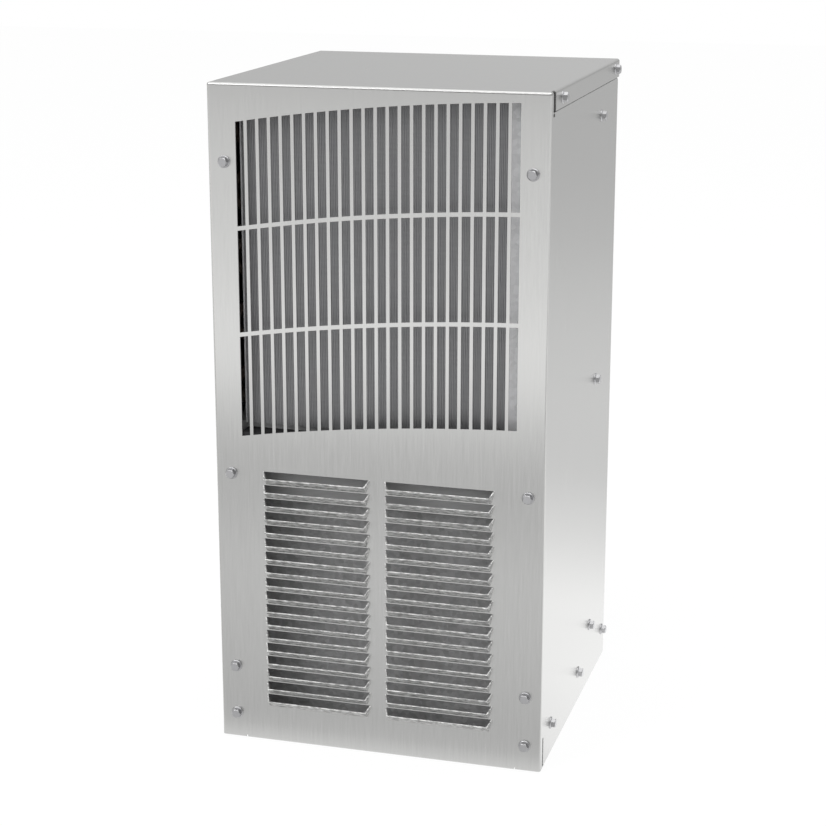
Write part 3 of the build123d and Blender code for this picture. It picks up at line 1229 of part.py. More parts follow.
PIECES = {
    "front_cover": front_cover,
    "cover_screws": cover_screws,
    "clinch_nuts": clinch_nuts,
    "base_pan": base_pan,
    "right_corner_post": corner_post,
    "left_corner_post": lambda: mirrored(corner_post()),
    "right_top_rail": top_rail,
    "left_top_rail": lambda: mirrored(top_rail()),
    "bulkhead": bulkhead,
    "bulkhead_insulation": bulkhead_insulation,
    "rear_panel": rear_panel,
    "mounting_nuts": mounting_nuts,
    "mounting_gasket": mounting_gasket,
    "fan_deck": fan_deck,
    "deck_seal": deck_seal,
    "louvre_baffle": louvre_baffle,
    "condenser_fins": condenser_fins,
    "condenser_left_plate": condenser_left_plate,
    "condenser_right_plate": condenser_right_plate,
    "condenser_tube": condenser_tube,
    "fan_shroud": fan_shroud,
    "condenser_fan_blades": condenser_fan_blades,
    "condenser_fan_shaft": condenser_fan_shaft,
    "condenser_fan_motor": condenser_fan_motor,
    "condenser_motor_bracket": condenser_motor_bracket,
    "compressor": compressor,
    "compressor_base": compressor_base,
    "compressor_grommets": compressor_grommets,
    "compressor_studs": compressor_studs,
    "compressor_terminal_cover": compressor_terminal_cover,
    "discharge_line": discharge_line,
    "suction_line": suction_line,
    "liquid_line": liquid_line,
    "filter_drier": filter_drier,
    "capillary_tube": capillary_tube,
    "run_capacitor": run_capacitor,
    "capacitor_strap": capacitor_strap,
    "evaporator_fins": evaporator_fins,
    "evaporator_end_plates": evaporator_end_plates,
    "evaporator_tube": evaporator_tube,
    "drain_tray": drain_tray,
    "drain_tube": drain_tube,
    "evaporator_fan_frame": evaporator_fan_frame,
    "evaporator_fan_rotor": evaporator_fan_rotor,
    "evaporator_fan_shaft": evaporator_fan_shaft,
    "outlet_guard": outlet_guard,
    "outlet_spacers": outlet_spacers,
    "outlet_bolts": outlet_bolts,
    "control_tray": control_tray,
    "thermostat_body": thermostat_body,
    "thermostat_dial": thermostat_dial,
    "thermostat_knob": thermostat_knob,
    "thermostat_bulb": thermostat_bulb,
    "reset_switch": reset_switch,
    "reset_button": reset_button,
    "terminal_block": terminal_block,
    "terminal_screws": terminal_screws,
    "power_gland": power_gland,
}


def solids_of(made):
    """Every solid of one piece, or of a group of like pieces."""
    shapes = made if isinstance(made, list) else [made]
    return [solid for shape in shapes for solid in shape.solids()]


os.makedirs("parts", exist_ok=True)
for name, make in PIECES.items():
    solids = solids_of(make())
    shape = solids[0] if len(solids) == 1 else Compound(children=solids)
    shape.label = name
    export_step(shape, f"parts/{name}.step")
    print(name, len(solids))
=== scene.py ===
"""Looks of the narrow enclosure air conditioner: finishes, control details, floor, lights and camera."""

import math

import bmesh
import bpy
from bpy.props import FloatProperty, FloatVectorProperty, IntProperty, PointerProperty
from mathutils import Euler, Matrix, Vector


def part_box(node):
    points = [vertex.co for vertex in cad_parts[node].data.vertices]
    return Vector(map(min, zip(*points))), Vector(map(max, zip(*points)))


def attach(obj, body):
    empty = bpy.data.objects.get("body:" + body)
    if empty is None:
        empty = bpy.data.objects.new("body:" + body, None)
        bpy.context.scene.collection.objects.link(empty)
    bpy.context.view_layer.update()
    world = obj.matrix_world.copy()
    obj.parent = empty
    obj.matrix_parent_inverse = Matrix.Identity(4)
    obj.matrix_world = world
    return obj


bl_info = {
    "name": "Enclosure air conditioner looks",
    "version": (1, 0, 0),
    "blender": (4, 5, 0),
    "location": "3D View > Sidebar > Cooler",
    "description": "Dresses the cabinet, coils, fans and controls of an enclosure air conditioner",
    "category": "Object",
}

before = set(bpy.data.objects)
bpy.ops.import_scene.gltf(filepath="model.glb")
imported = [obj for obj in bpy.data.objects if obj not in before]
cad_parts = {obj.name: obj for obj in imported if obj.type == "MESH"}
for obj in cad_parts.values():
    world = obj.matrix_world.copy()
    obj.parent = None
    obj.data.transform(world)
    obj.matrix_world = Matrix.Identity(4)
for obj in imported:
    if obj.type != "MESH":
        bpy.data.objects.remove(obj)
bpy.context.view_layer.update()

SHEET = ("front_cover", "rear_panel")
ZINC = (
    "clinch_nuts", "mounting_nuts", "compressor_studs", "outlet_spacers", "outlet_bolts", "terminal_screws",
)
GALVANISED = (
    "base_pan", "right_corner_post", "left_corner_post", "right_top_rail", "left_top_rail", "bulkhead",
    "louvre_baffle", "fan_shroud",
    "condenser_motor_bracket", "capacitor_strap", "evaporator_end_plates", "drain_tray", "control_tray",
)
COIL_PLATES = ("condenser_left_plate", "condenser_right_plate")
FINS = ("condenser_fins", "evaporator_fins")
BARE_ALUMINIUM = ("condenser_fan_blades", "run_capacitor")
COPPER = (
    "evaporator_tube", "discharge_line", "suction_line", "liquid_line", "filter_drier",
    "capillary_tube", "thermostat_bulb",
)
GROUND_STEEL = ("condenser_fan_shaft", "evaporator_fan_shaft")
ENAMEL = ("compressor", "compressor_base", "condenser_fan_motor", "evaporator_fan_frame")
MOULDED = (
    "evaporator_fan_rotor", "thermostat_body", "reset_switch", "power_gland", "compressor_terminal_cover",
    "drain_tube",
)
PALE = ("thermostat_dial", "terminal_block")
# The deck seal is black foam and also painted shade: it fills the dark space under the condenser coil with
# black
BLACK_FOAM_AND_SHADE = ("bulkhead_insulation", "mounting_gasket", "deck_seal")
RUBBER = ("compressor_grommets",)


def colour_property(name, description, value):
    return FloatVectorProperty(name=name, description=description, default=value, min=0.0, max=1.0,
                               size=3, subtype="COLOR")


def share_property(name, description, value):
    return FloatProperty(name=name, description=description, default=value, min=0.0, max=1.0,
                         subtype="FACTOR")


def length_property(name, description, value, low, high):
    return FloatProperty(name=name, description=description, default=value, min=low, max=high, unit="LENGTH")


def lamp_property(name, description, value):
    return FloatProperty(name=name, description=description, default=value, min=0.0, max=400.0, unit="POWER")


def angle_property(name, description, degrees):
    return FloatProperty(name=name, description=description, default=math.radians(degrees), subtype="ANGLE")


class CoolerFinishes(bpy.types.PropertyGroup):
    steel: colour_property("Steel", "Brushed steel of the cover and rear panel", (0.58, 0.58, 0.572))
    steel_roughness: share_property("Steel roughness", "How far the brushed steel blurs what it shows", 0.25)
    grain: share_property("Grain", "Strength of the brushed grain", 0.5)
    drawn_out: share_property("Drawn out", "How far highlights are drawn out across the grain", 0.88)
    # The cover screws' plate is painted darker than bare zinc plate, a painted shade for the dark room their
    # faces mirror
    plate: colour_property("Darkened screw plate", "Zinc plate of the cover screws", (0.50, 0.50, 0.51))
    zinc: colour_property("Zinc", "Zinc plate of the nuts and small screws", (0.55, 0.55, 0.56))
    # Painted shade and painted light: the galvanised colour is kept dark for the shaded inner frame, and
    # bright_sheet is the same galvanised sheet painted lighter for the lit side plates of the condenser
    galvanised: colour_property("Galvanised", "Mottled sheet of the inner frame", (0.46, 0.46, 0.465))
    bright_sheet: colour_property("Lit galvanised sheet", "Sheet of the condenser's side plates", (0.80, 0.80, 0.81))
    rolled: colour_property("Rolled sheet", "Smooth sheet of the fan deck", (0.60, 0.60, 0.605))
    fins: colour_property("Fins", "Aluminium of the coil fins", (0.36, 0.36, 0.37))
    aluminium: colour_property("Aluminium", "Bare aluminium of blades and capacitor", (0.62, 0.62, 0.63))
    copper: colour_property("Copper", "Copper of the tubes", (0.72, 0.36, 0.22))
    # The condenser's tube is copper painted near black, as painted shade for the dark gap where its bends
    # sit beside the coil
    tarnish: colour_property("Copper in painted shade", "Condenser's bends in the warm air", (0.13, 0.10, 0.085))
    enamel: colour_property("Enamel", "Black enamel of the motors and compressor", (0.028, 0.028, 0.030))
    moulded: colour_property("Moulded plastic", "Black plastic parts", (0.030, 0.030, 0.032))
    pale: colour_property("Pale plastic", "Dial and terminal block", (0.70, 0.70, 0.68))
    red: colour_property("Button", "Reset button", (0.50, 0.03, 0.03))
    foam: colour_property("Foam and rubber", "Gasket, lining, deck seal and grommets", (0.025, 0.025, 0.027))
    ground_steel: colour_property("Ground steel", "Fan shafts", (0.50, 0.50, 0.50))
    wire: colour_property("Plated wire", "Wire of the outlet's guard", (0.62, 0.62, 0.63))


class CoolerControls(bpy.types.PropertyGroup):
    digit_height: length_property("Digit height", "Height of the dial's figures", 0.0028, 0.001, 0.006)
    digit_count: IntProperty(name="Digits", description="Figures round the thermostat's dial", default=6,
                             min=2, max=10)


class CoolerStage(bpy.types.PropertyGroup):
    floor_size: length_property("Floor", "Side of the floor", 12.0, 2.0, 40.0)
    floor_colour: colour_property("Floor colour", "Colour of the floor", (0.86, 0.86, 0.86))
    floor_white: FloatProperty(name="Floor white", description="Brightness of the floor in the picture",
                               default=1.06, min=0.0, max=2.0)
    sky: FloatProperty(name="Sky", description="Strength of the light from all round", default=0.62,
                       min=0.0, max=4.0)
    key: lamp_property("Key light", "Power of the large light at the front left", 30.0)
    top: lamp_property("Top light", "Power of the light overhead", 16.0)
    eye: FloatVectorProperty(name="Camera", description="Place of the camera",
                             default=(0.4200, -1.6192, 0.6630), size=3, subtype="XYZ", unit="LENGTH")
    turn: angle_property("Turn", "Camera's turn to the left", 16.03)
    dip: angle_property("Dip", "Camera's tilt below level", 15.35)
    lens: FloatProperty(name="Lens", description="Focal length in millimetres", default=88.13,
                        min=10.0, max=300.0)


NODE_SPACING = 190
RAMP_TOP = 2.0


class Graph:
    """A node tree with short ways to add and join its nodes."""

    def __init__(self, tree):
        self.tree = tree
        self.column = 0

    def add(self, kind, **settings):
        node = self.tree.nodes.new(kind)
        node.location = (self.column * NODE_SPACING, 0)
        self.column += 1
        for key, value in settings.items():
            setattr(node, key, value)
        return node

    def join(self, source, target):
        self.tree.links.new(source, target)

    def feed(self, value, target):
        """Joins a socket, or sets a number."""
        if isinstance(value, (int, float)):
            target.default_value = value
        else:
            self.join(value, target)

    def object_place(self):
        return self.add("ShaderNodeTexCoord").outputs["Object"]

    def stretched(self, place, scale):
        node = self.add("ShaderNodeMapping")
        node.inputs["Scale"].default_value = scale
        self.join(place, node.inputs["Vector"])
        return node.outputs["Vector"]

    def noise(self, place, scale, detail=3.0, roughness=0.55):
        node = self.add("ShaderNodeTexNoise")
        node.inputs["Scale"].default_value = scale
        node.inputs["Detail"].default_value = detail
        node.inputs["Roughness"].default_value = roughness
        self.join(place, node.inputs["Vector"])
        return node.outputs["Fac"]

    def cells(self, place, scale):
        node = self.add("ShaderNodeTexVoronoi")
        node.inputs["Scale"].default_value = scale
        self.join(place, node.inputs["Vector"])
        grey = self.add("ShaderNodeRGBToBW")
        self.join(node.outputs["Color"], grey.inputs[0])
        return grey.outputs[0]

    def range(self, value, low, high, to_low, to_high):
        node = self.add("ShaderNodeMapRange")
        for key, number in (("From Min", low), ("From Max", high), ("To Min", to_low), ("To Max", to_high)):
            node.inputs[key].default_value = number
        self.join(value, node.inputs["Value"])
        return node.outputs["Result"]

    def calculate(self, operation, first, second):
        node = self.add("ShaderNodeMath", operation=operation)
        self.feed(first, node.inputs[0])
        self.feed(second, node.inputs[1])
        return node.outputs[0]

    def plus_share(self, base, value, share):
        """The base, and a share of a value on top of it."""
        return self.calculate("ADD", base, self.calculate("MULTIPLY", value, share))

    def swing(self, pattern, strength):
        """How far a pattern is from its middle, times a strength."""
        return self.calculate("MULTIPLY", self.calculate("SUBTRACT", pattern, 0.5), strength)

    def blend_values(self, factor, first, second):
        node = self.add("ShaderNodeMix", data_type="FLOAT")
        for place, value in ((0, factor), (2, first), (3, second)):
            self.feed(value, node.inputs[place])
        return node.outputs[0]

    def ramp(self, value, low, high, stops):
        """A level read from stops, each a place between low and high and its level."""
        node = self.add("ShaderNodeValToRGB")
        points = node.color_ramp.elements
        while len(points) < len(stops):
            points.new(0.5)
        for point, (place, level) in zip(points, stops):
            point.position = (place - low) / (high - low)
            point.color = (level / RAMP_TOP, level / RAMP_TOP, level / RAMP_TOP, 1.0)
        self.join(self.range(value, low, high, 0.0, 1.0), node.inputs["Fac"])
        return self.calculate("MULTIPLY", node.outputs["Color"], RAMP_TOP)

    def tinted(self, colour, level):
        """A colour made lighter or darker by a level about 1."""
        node = self.add("ShaderNodeVectorMath", operation="SCALE")
        self.join(colour, node.inputs[0])
        self.join(level, node.inputs["Scale"])
        return node.outputs[0]

    def bump(self, height, strength, distance):
        node = self.add("ShaderNodeBump")
        node.inputs["Distance"].default_value = distance
        self.feed(strength, node.inputs["Strength"])
        self.join(height, node.inputs["Height"])
        return node.outputs["Normal"]


def new_group(name, inputs, outputs):
    """An empty node group with its sockets, or None and the group where it is there already."""
    if name in bpy.data.node_groups:
        return None, bpy.data.node_groups[name]
    group = bpy.data.node_groups.new(name, "ShaderNodeTree")
    for label, kind in inputs:
        group.interface.new_socket(label, in_out="INPUT", socket_type=kind)
    for label, kind in outputs:
        group.interface.new_socket(label, in_out="OUTPUT", socket_type=kind)
    return Graph(group), group


COLOUR = "NodeSocketColor"
NUMBER = "NodeSocketFloat"
VECTOR = "NodeSocketVector"
SURFACE_OUTPUTS = (("Colour", COLOUR), ("Roughness", NUMBER), ("Normal", VECTOR))


def finish_group(graph, colour, roughness, normal):
    out = graph.add("NodeGroupOutput")
    for label, source in (("Colour", colour), ("Roughness", roughness), ("Normal", normal)):
        graph.join(source, out.inputs[label])
    return out


FRONT_FACE = -0.254
SCOOP_RISE = (0.00005, 0.00015)
LEVEL_TILT = (0.6, 0.8)
GRAIN_SQUEEZE = 0.05


def level_share(graph, facing):
    """1 where the sheet lies level and 0 where it stands."""
    axes = graph.add("ShaderNodeSeparateXYZ")
    graph.join(facing, axes.inputs[0])
    tilt = graph.calculate("ABSOLUTE", axes.outputs["Z"], 0.0)
    return graph.range(tilt, LEVEL_TILT[0], LEVEL_TILT[1], 0.0, 1.0)


def scoop_share(graph, place):
    """1 on the scoops, which stand proud of the front face, and 0 elsewhere."""
    axes = graph.add("ShaderNodeSeparateXYZ")
    graph.join(place, axes.inputs[0])
    return graph.range(axes.outputs["Y"], FRONT_FACE - SCOOP_RISE[0], FRONT_FACE - SCOOP_RISE[1], 0.0, 1.0)


def brushed_grain():
    """Grain that runs up the panels, and from front to back on level ones; the scoops are mottled."""
    inputs = (("Colour", COLOUR), ("Roughness", NUMBER), ("Grain", NUMBER))
    graph, group = new_group("Brushed grain", inputs, SURFACE_OUTPUTS + (("Bare metal", NUMBER),))
    if graph is None:
        return group
    given = graph.add("NodeGroupInput").outputs
    coords = graph.add("ShaderNodeTexCoord").outputs
    level = level_share(graph, coords["Normal"])
    scoop = scoop_share(graph, coords["Object"])
    upright = graph.stretched(coords["Object"], (1.0, 1.0, GRAIN_SQUEEZE))
    lying = graph.stretched(coords["Object"], (1.0, GRAIN_SQUEEZE, 1.0))
    fine, coarse = (
        graph.blend_values(level, graph.noise(upright, scale, detail), graph.noise(lying, scale, detail))
        for scale, detail in ((1000.0, 2.0), (420.0, 3.0))
    )
    streak = graph.blend_values(0.4, fine, coarse)
    swing = graph.swing(streak, given["Grain"])
    streaked = graph.plus_share(1.0, swing, share=0.45)
    blotch = graph.noise(graph.stretched(coords["Object"], (0.35, 1.0, 1.0)), scale=620.0, detail=3.0)
    mottled = graph.range(blotch, low=0.38, high=0.62, to_low=0.55, to_high=1.45)
    shade = graph.blend_values(scoop, streaked, mottled)
    rough = graph.plus_share(given["Roughness"], swing, share=0.25)
    rough = graph.plus_share(rough, scoop, share=0.12)
    height = graph.blend_values(scoop, streak, blotch)
    normal = graph.bump(height, graph.calculate("MULTIPLY", given["Grain"], 0.12), distance=0.00012)
    out = finish_group(graph, graph.tinted(given["Colour"], shade), rough, normal)
    bare = graph.range(scoop, low=0.0, high=1.0, to_low=1.0, to_high=0.25)
    graph.join(bare, out.inputs["Bare metal"])
    return group


def spangle():
    """Soft crystals of galvanised sheet."""
    inputs = (("Colour", COLOUR), ("Roughness", NUMBER), ("Contrast", NUMBER))
    graph, group = new_group("Galvanised spangle", inputs, SURFACE_OUTPUTS)
    if graph is None:
        return group
    given = graph.add("NodeGroupInput").outputs
    place = graph.object_place()
    crystals = graph.cells(place, scale=300.0)
    cloud = graph.noise(place, scale=220.0, detail=4.0)
    swing = graph.swing(graph.blend_values(0.45, crystals, cloud), given["Contrast"])
    shade = graph.plus_share(1.0, swing, share=1.0)
    rough = graph.plus_share(given["Roughness"], swing, share=0.3)
    normal = graph.bump(cloud, strength=0.15, distance=0.0002)
    finish_group(graph, graph.tinted(given["Colour"], shade), rough, normal)
    return group


def fin_ripple():
    """Level ripples pressed across the fins, uneven along their length."""
    inputs = (("Colour", COLOUR), ("Roughness", NUMBER), ("Contrast", NUMBER))
    graph, group = new_group("Fin ripple", inputs, SURFACE_OUTPUTS)
    if graph is None:
        return group
    given = graph.add("NodeGroupInput").outputs
    place = graph.object_place()
    bands = graph.noise(graph.stretched(place, (0.08, 0.08, 1.0)), scale=520.0, detail=2.0)
    patches = graph.noise(graph.stretched(place, (1.0, 1.0, 0.5)), scale=50.0, detail=3.0)
    swing = graph.swing(graph.blend_values(0.25, bands, patches), given["Contrast"])
    shade = graph.plus_share(1.0, swing, share=1.0)
    rough = graph.plus_share(given["Roughness"], swing, share=0.4)
    normal = graph.bump(bands, strength=0.4, distance=0.0004)
    finish_group(graph, graph.tinted(given["Colour"], shade), rough, normal)
    return group


def fine_skin():
    """Slight unevenness of plate, paint, rubber or moulded plastic."""
    inputs = (("Colour", COLOUR), ("Roughness", NUMBER), ("Unevenness", NUMBER))
    graph, group = new_group("Fine skin", inputs, SURFACE_OUTPUTS)
    if graph is None:
        return group
    given = graph.add("NodeGroupInput").outputs
    place = graph.object_place()
    grain = graph.noise(place, scale=2200.0, detail=2.0)
    cloud = graph.noise(place, scale=60.0, detail=3.0)
    swing = graph.swing(cloud, given["Unevenness"])
    shade = graph.plus_share(1.0, swing, share=0.6)
    rough = graph.plus_share(given["Roughness"], swing, share=0.4)
    normal = graph.bump(grain, graph.calculate("MULTIPLY", given["Unevenness"], 0.5), distance=0.0001)
    finish_group(graph, graph.tinted(given["Colour"], shade), rough, normal)
    return group


# Each finish has its roughness, the strength of its pattern and how metallic it is
SKINS = {
    "Zinc plate": (0.30, 0.25, 1.0),
    "Darkened screw plate": (0.36, 0.20, 1.0),
    "Galvanised sheet": (0.55, 0.80, 0.15),
    "Rolled sheet": (0.50, 0.15, 0.20),
    "Lit galvanised sheet": (0.50, 0.35, 0.15),
    "Fin aluminium": (0.50, 0.35, 0.45),
    "Drawn copper": (0.30, 0.35, 1.0),
    "Copper in painted shade": (0.45, 0.35, 0.70),
    "Black enamel": (0.38, 0.30, 0.0),
    "Bare aluminium": (0.38, 0.25, 1.0),
    "Ground steel": (0.22, 0.15, 1.0),
    "Plated wire": (0.18, 0.15, 1.0),
    "Rubber": (0.70, 0.40, 0.0),
    "Black foam": (0.85, 0.90, 0.0),
    "Moulded plastic": (0.45, 0.30, 0.0),
    "Pale plastic": (0.42, 0.20, 0.0),
    "Polished plastic": (0.18, 0.10, 0.0),
    "Red plastic": (0.25, 0.10, 0.0),
}


def finish(name, group, colour, roughness, pattern, metallic):
    """A material whose surface comes from one of the groups."""
    material = bpy.data.materials.get(name)
    if material is not None:
        return material
    material = bpy.data.materials.new(name)
    material.use_nodes = True
    material.diffuse_color = (*colour, 1.0)
    graph = Graph(material.node_tree)
    shader = material.node_tree.nodes["Principled BSDF"]
    shader.inputs["Metallic"].default_value = metallic
    surface = graph.add("ShaderNodeGroup", node_tree=group, name="Surface")
    surface.inputs[0].default_value = (*colour, 1.0)
    surface.inputs[1].default_value = roughness
    surface.inputs[2].default_value = pattern
    graph.join(surface.outputs["Colour"], shader.inputs["Base Color"])
    graph.join(surface.outputs["Roughness"], shader.inputs["Roughness"])
    graph.join(surface.outputs["Normal"], shader.inputs["Normal"])
    return material


def skin(name, group, colour):
    return finish(name, group, colour, *SKINS[name])


def across_grain(graph):
    """The direction across the grain, along which the sheet blurs what it shows."""
    level = level_share(graph, graph.add("ShaderNodeTexCoord").outputs["Normal"])
    grain_way = graph.add("ShaderNodeCombineXYZ")
    graph.join(level, grain_way.inputs["Y"])
    graph.join(graph.calculate("SUBTRACT", 1.0, level), grain_way.inputs["Z"])
    across = graph.add("ShaderNodeVectorMath", operation="CROSS_PRODUCT")
    graph.join(graph.add("ShaderNodeNewGeometry").outputs["Normal"], across.inputs[0])
    graph.join(grain_way.outputs[0], across.inputs[1])
    return across.outputs[0]


def brushed_steel():
    look = finishes()
    steel = finish("Brushed steel", brushed_grain(), look.steel, look.steel_roughness, look.grain, 1.0)
    nodes = steel.node_tree.nodes
    shader = nodes["Principled BSDF"]
    if not shader.inputs["Tangent"].is_linked:
        graph = Graph(steel.node_tree)
        shader.inputs["Anisotropic"].default_value = look.drawn_out
        graph.join(across_grain(graph), shader.inputs["Tangent"])
        graph.join(nodes["Surface"].outputs["Bare metal"], shader.inputs["Metallic"])
    return steel


def dress(names, material):
    """Gives CAD nodes one material in all their slots."""
    for name in names:
        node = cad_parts[name]
        if not node.material_slots:
            raise RuntimeError(f"{name} has no material slot")
        for slot in node.material_slots:
            slot.material = material


def finishes():
    return bpy.context.scene.cooler_finishes


def moulded_plastic():
    return skin("Moulded plastic", fine_skin(), finishes().moulded)


class COOLER_OT_sheet(bpy.types.Operator):
    """Brushed steel on the cover and the rear panel"""
    bl_idname = "cooler.sheet"
    bl_label = "Cover and rear panel"

    def execute(self, context):
        dress(SHEET, brushed_steel())
        return {"FINISHED"}


class COOLER_OT_fasteners(bpy.types.Operator):
    """Plate on the screws and nuts"""
    bl_idname = "cooler.fasteners"
    bl_label = "Screws and nuts"

    def execute(self, context):
        look = finishes()
        # Darker plate on the cover screws: painted shade for the dark faces they mirror
        dress(("cover_screws",), skin("Darkened screw plate", fine_skin(), look.plate))
        dress(ZINC, skin("Zinc plate", fine_skin(), look.zinc))
        return {"FINISHED"}


class COOLER_OT_frame(bpy.types.Operator):
    """Galvanised sheet on the pan, posts, rails and trays, and rolled sheet on the deck"""
    bl_idname = "cooler.frame"
    bl_label = "Inner frame"

    def execute(self, context):
        look = finishes()
        # The galvanised colour here is darkened as painted shade inside the cabinet
        dress(GALVANISED, skin("Galvanised sheet", spangle(), look.galvanised))
        dress(("fan_deck",), skin("Rolled sheet", fine_skin(), look.rolled))
        return {"FINISHED"}


class COOLER_OT_coils(bpy.types.Operator):
    """Aluminium fins and copper tubes"""
    bl_idname = "cooler.coils"
    bl_label = "Coils and lines"

    def execute(self, context):
        look = finishes()
        # The condenser's side plates are galvanised sheet painted lighter, as painted light where the light
        # falls on them
        dress(COIL_PLATES, skin("Lit galvanised sheet", spangle(), look.bright_sheet))
        dress(FINS, skin("Fin aluminium", fin_ripple(), look.fins))
        dress(COPPER, skin("Drawn copper", fine_skin(), look.copper))
        # Copper painted near black on the condenser's tube: painted shade in the gap beside the coil
        dress(("condenser_tube",), skin("Copper in painted shade", fine_skin(), look.tarnish))
        return {"FINISHED"}


class COOLER_OT_machines(bpy.types.Operator):
    """Compressor, motors, fan wheels and the parts beside them"""
    bl_idname = "cooler.machines"
    bl_label = "Compressor and fans"

    def execute(self, context):
        look = finishes()
        dress(ENAMEL, skin("Black enamel", fine_skin(), look.enamel))
        dress(BARE_ALUMINIUM, skin("Bare aluminium", fine_skin(), look.aluminium))
        dress(GROUND_STEEL, skin("Ground steel", fine_skin(), look.ground_steel))
        dress(("outlet_guard",), skin("Plated wire", fine_skin(), look.wire))
        dress(RUBBER, skin("Rubber", fine_skin(), look.foam))
        dress(MOULDED, moulded_plastic())
        return {"FINISHED"}


class COOLER_OT_seals(bpy.types.Operator):
    """Foam of the gasket, the lining and the deck's seal; the deck's seal is also painted shade under the
    condenser coil
    """
    bl_idname = "cooler.seals"
    bl_label = "Foam seals"

    def execute(self, context):
        look = finishes()
        dress(BLACK_FOAM_AND_SHADE, skin("Black foam", fine_skin(), look.foam))
        return {"FINISHED"}


def mesh_piece(name, bm, material, body):
    """Turns a filled bmesh into a piece that rides on a body."""
    bmesh.ops.recalc_face_normals(bm, faces=bm.faces)
    mesh = bpy.data.meshes.new(name)
    bm.to_mesh(mesh)
    bm.free()
    mesh.materials.append(material)
    piece = bpy.data.objects.new(name, mesh)
    bpy.context.collection.objects.link(piece)
    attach(piece, body)
    return piece


FIGURE_INSET = 0.0058
FIGURE_START = 225
FIGURE_SWEEP = 270
FIGURE_LIFT = 0.00004
FIGURE_DEPTH = 0.00005
SIZE_PER_HEIGHT = 1.4
FACING_BACK = (math.radians(90), 0, math.radians(180))
MARK_SIZE = (0.0012, 0.0003, 0.0080)
MARK_SINK = 0.0006
MARK_ABOVE_CENTRE = 0.0076


class COOLER_OT_controls(bpy.types.Operator):
    """Thermostat, reset button and terminals in the rear recess"""
    bl_idname = "cooler.controls"
    bl_label = "Controls"

    def execute(self, context):
        look = finishes()
        sizes = context.scene.cooler_controls
        pale = skin("Pale plastic", fine_skin(), look.pale)
        dress(PALE, pale)
        dress(("thermostat_knob",), skin("Polished plastic", fine_skin(), look.moulded))
        dress(("reset_button",), skin("Red plastic", fine_skin(), look.red))
        self.dial_figures(sizes)
        self.knob_mark(pale)
        return {"FINISHED"}

    def dial_figures(self, sizes):
        low, high = (Vector(corner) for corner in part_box("thermostat_dial"))
        centre = (low + high) / 2
        radius = (high.x - low.x) / 2 - FIGURE_INSET
        ink = moulded_plastic()
        for figure in range(sizes.digit_count):
            part = figure / (sizes.digit_count - 1)
            angle = math.radians(FIGURE_START - FIGURE_SWEEP * part)
            across = centre.x - radius * math.cos(angle)
            up = centre.z + radius * math.sin(angle)
            curve = bpy.data.curves.new(f"dial_figure_{figure}", "FONT")
            curve.body = str(figure)
            curve.size = sizes.digit_height * SIZE_PER_HEIGHT
            curve.extrude = FIGURE_DEPTH
            curve.align_x = "CENTER"
            curve.align_y = "CENTER"
            curve.materials.append(ink)
            text = bpy.data.objects.new(curve.name, curve)
            bpy.context.collection.objects.link(text)
            text.location = (across, high.y + FIGURE_LIFT, up)
            text.rotation_euler = FACING_BACK
            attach(text, "casing")

    def knob_mark(self, material):
        low, high = (Vector(corner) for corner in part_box("thermostat_knob"))
        centre = (low + high) / 2
        bm = bmesh.new()
        place = Matrix.Translation((centre.x, high.y - MARK_SINK, centre.z + MARK_ABOVE_CENTRE))
        bmesh.ops.create_cube(bm, size=1.0, matrix=place @ Matrix.Diagonal((*MARK_SIZE, 1.0)))
        mesh_piece("knob_mark", bm, material, "knob")


# How bright mirrored rays find the floor, from the front to the back, and the room
FLOOR_SHOWN = (
    (-4.0, 1.02), (-2.5, 1.03), (-1.95, 1.12), (-1.6, 1.31), (-1.4, 1.39), (-1.25, 1.14), (-1.12, 0.86),
    (-0.97, 0.70), (-0.85, 0.74), (-0.66, 0.88), (-0.5, 0.83), (-0.29, 0.72), (-0.22, 1.30), (-0.08, 1.42),
    (0.1, 1.42), (0.3, 1.10), (0.5, 0.92), (0.8, 0.95), (1.16, 0.90), (1.47, 0.84), (1.9, 0.75), (2.7, 0.70),
)
ROOM_FRONT_TO_BACK = ((-1.0, 0.34), (0.0, 0.42), (1.0, 0.67))
ROOM_LEFT_TO_RIGHT = ((-1.0, 0.98), (1.0, 0.92))
OVERHEAD = 1.25
OVERHEAD_STARTS = (0.42, 0.75)
FLOOR_GLOW = 0.86
FLOOR_ROUGHNESS = 0.9
KEY_LIGHT = {"place": (-1.9, -2.3, 2.2), "target": (0, -0.1, 0.25), "size": 1.8}
TOP_LIGHT = {"place": (0.6, -0.2, 2.6), "target": (0, -0.1, 0.3), "size": 2.2}
SENSOR_WIDTH = 36.0


def background_rays(graph):
    """Two masks: one for straight and refracted rays, and one for mirrored rays."""
    path = graph.add("ShaderNodeLightPath")
    straight = graph.calculate("MAXIMUM", path.outputs["Is Camera Ray"], path.outputs["Is Transmission Ray"])
    return straight, path.outputs["Is Glossy Ray"]


def area_light(name, power, place, target, size):
    lamp = bpy.data.lights.new(name, "AREA")
    lamp.shape = "RECTANGLE"
    lamp.size = size
    lamp.size_y = size
    lamp.energy = power
    light = bpy.data.objects.new(name, lamp)
    light.location = place
    light.rotation_euler = (Vector(target) - Vector(place)).to_track_quat("-Z", "Y").to_euler()
    bpy.context.collection.objects.link(light)


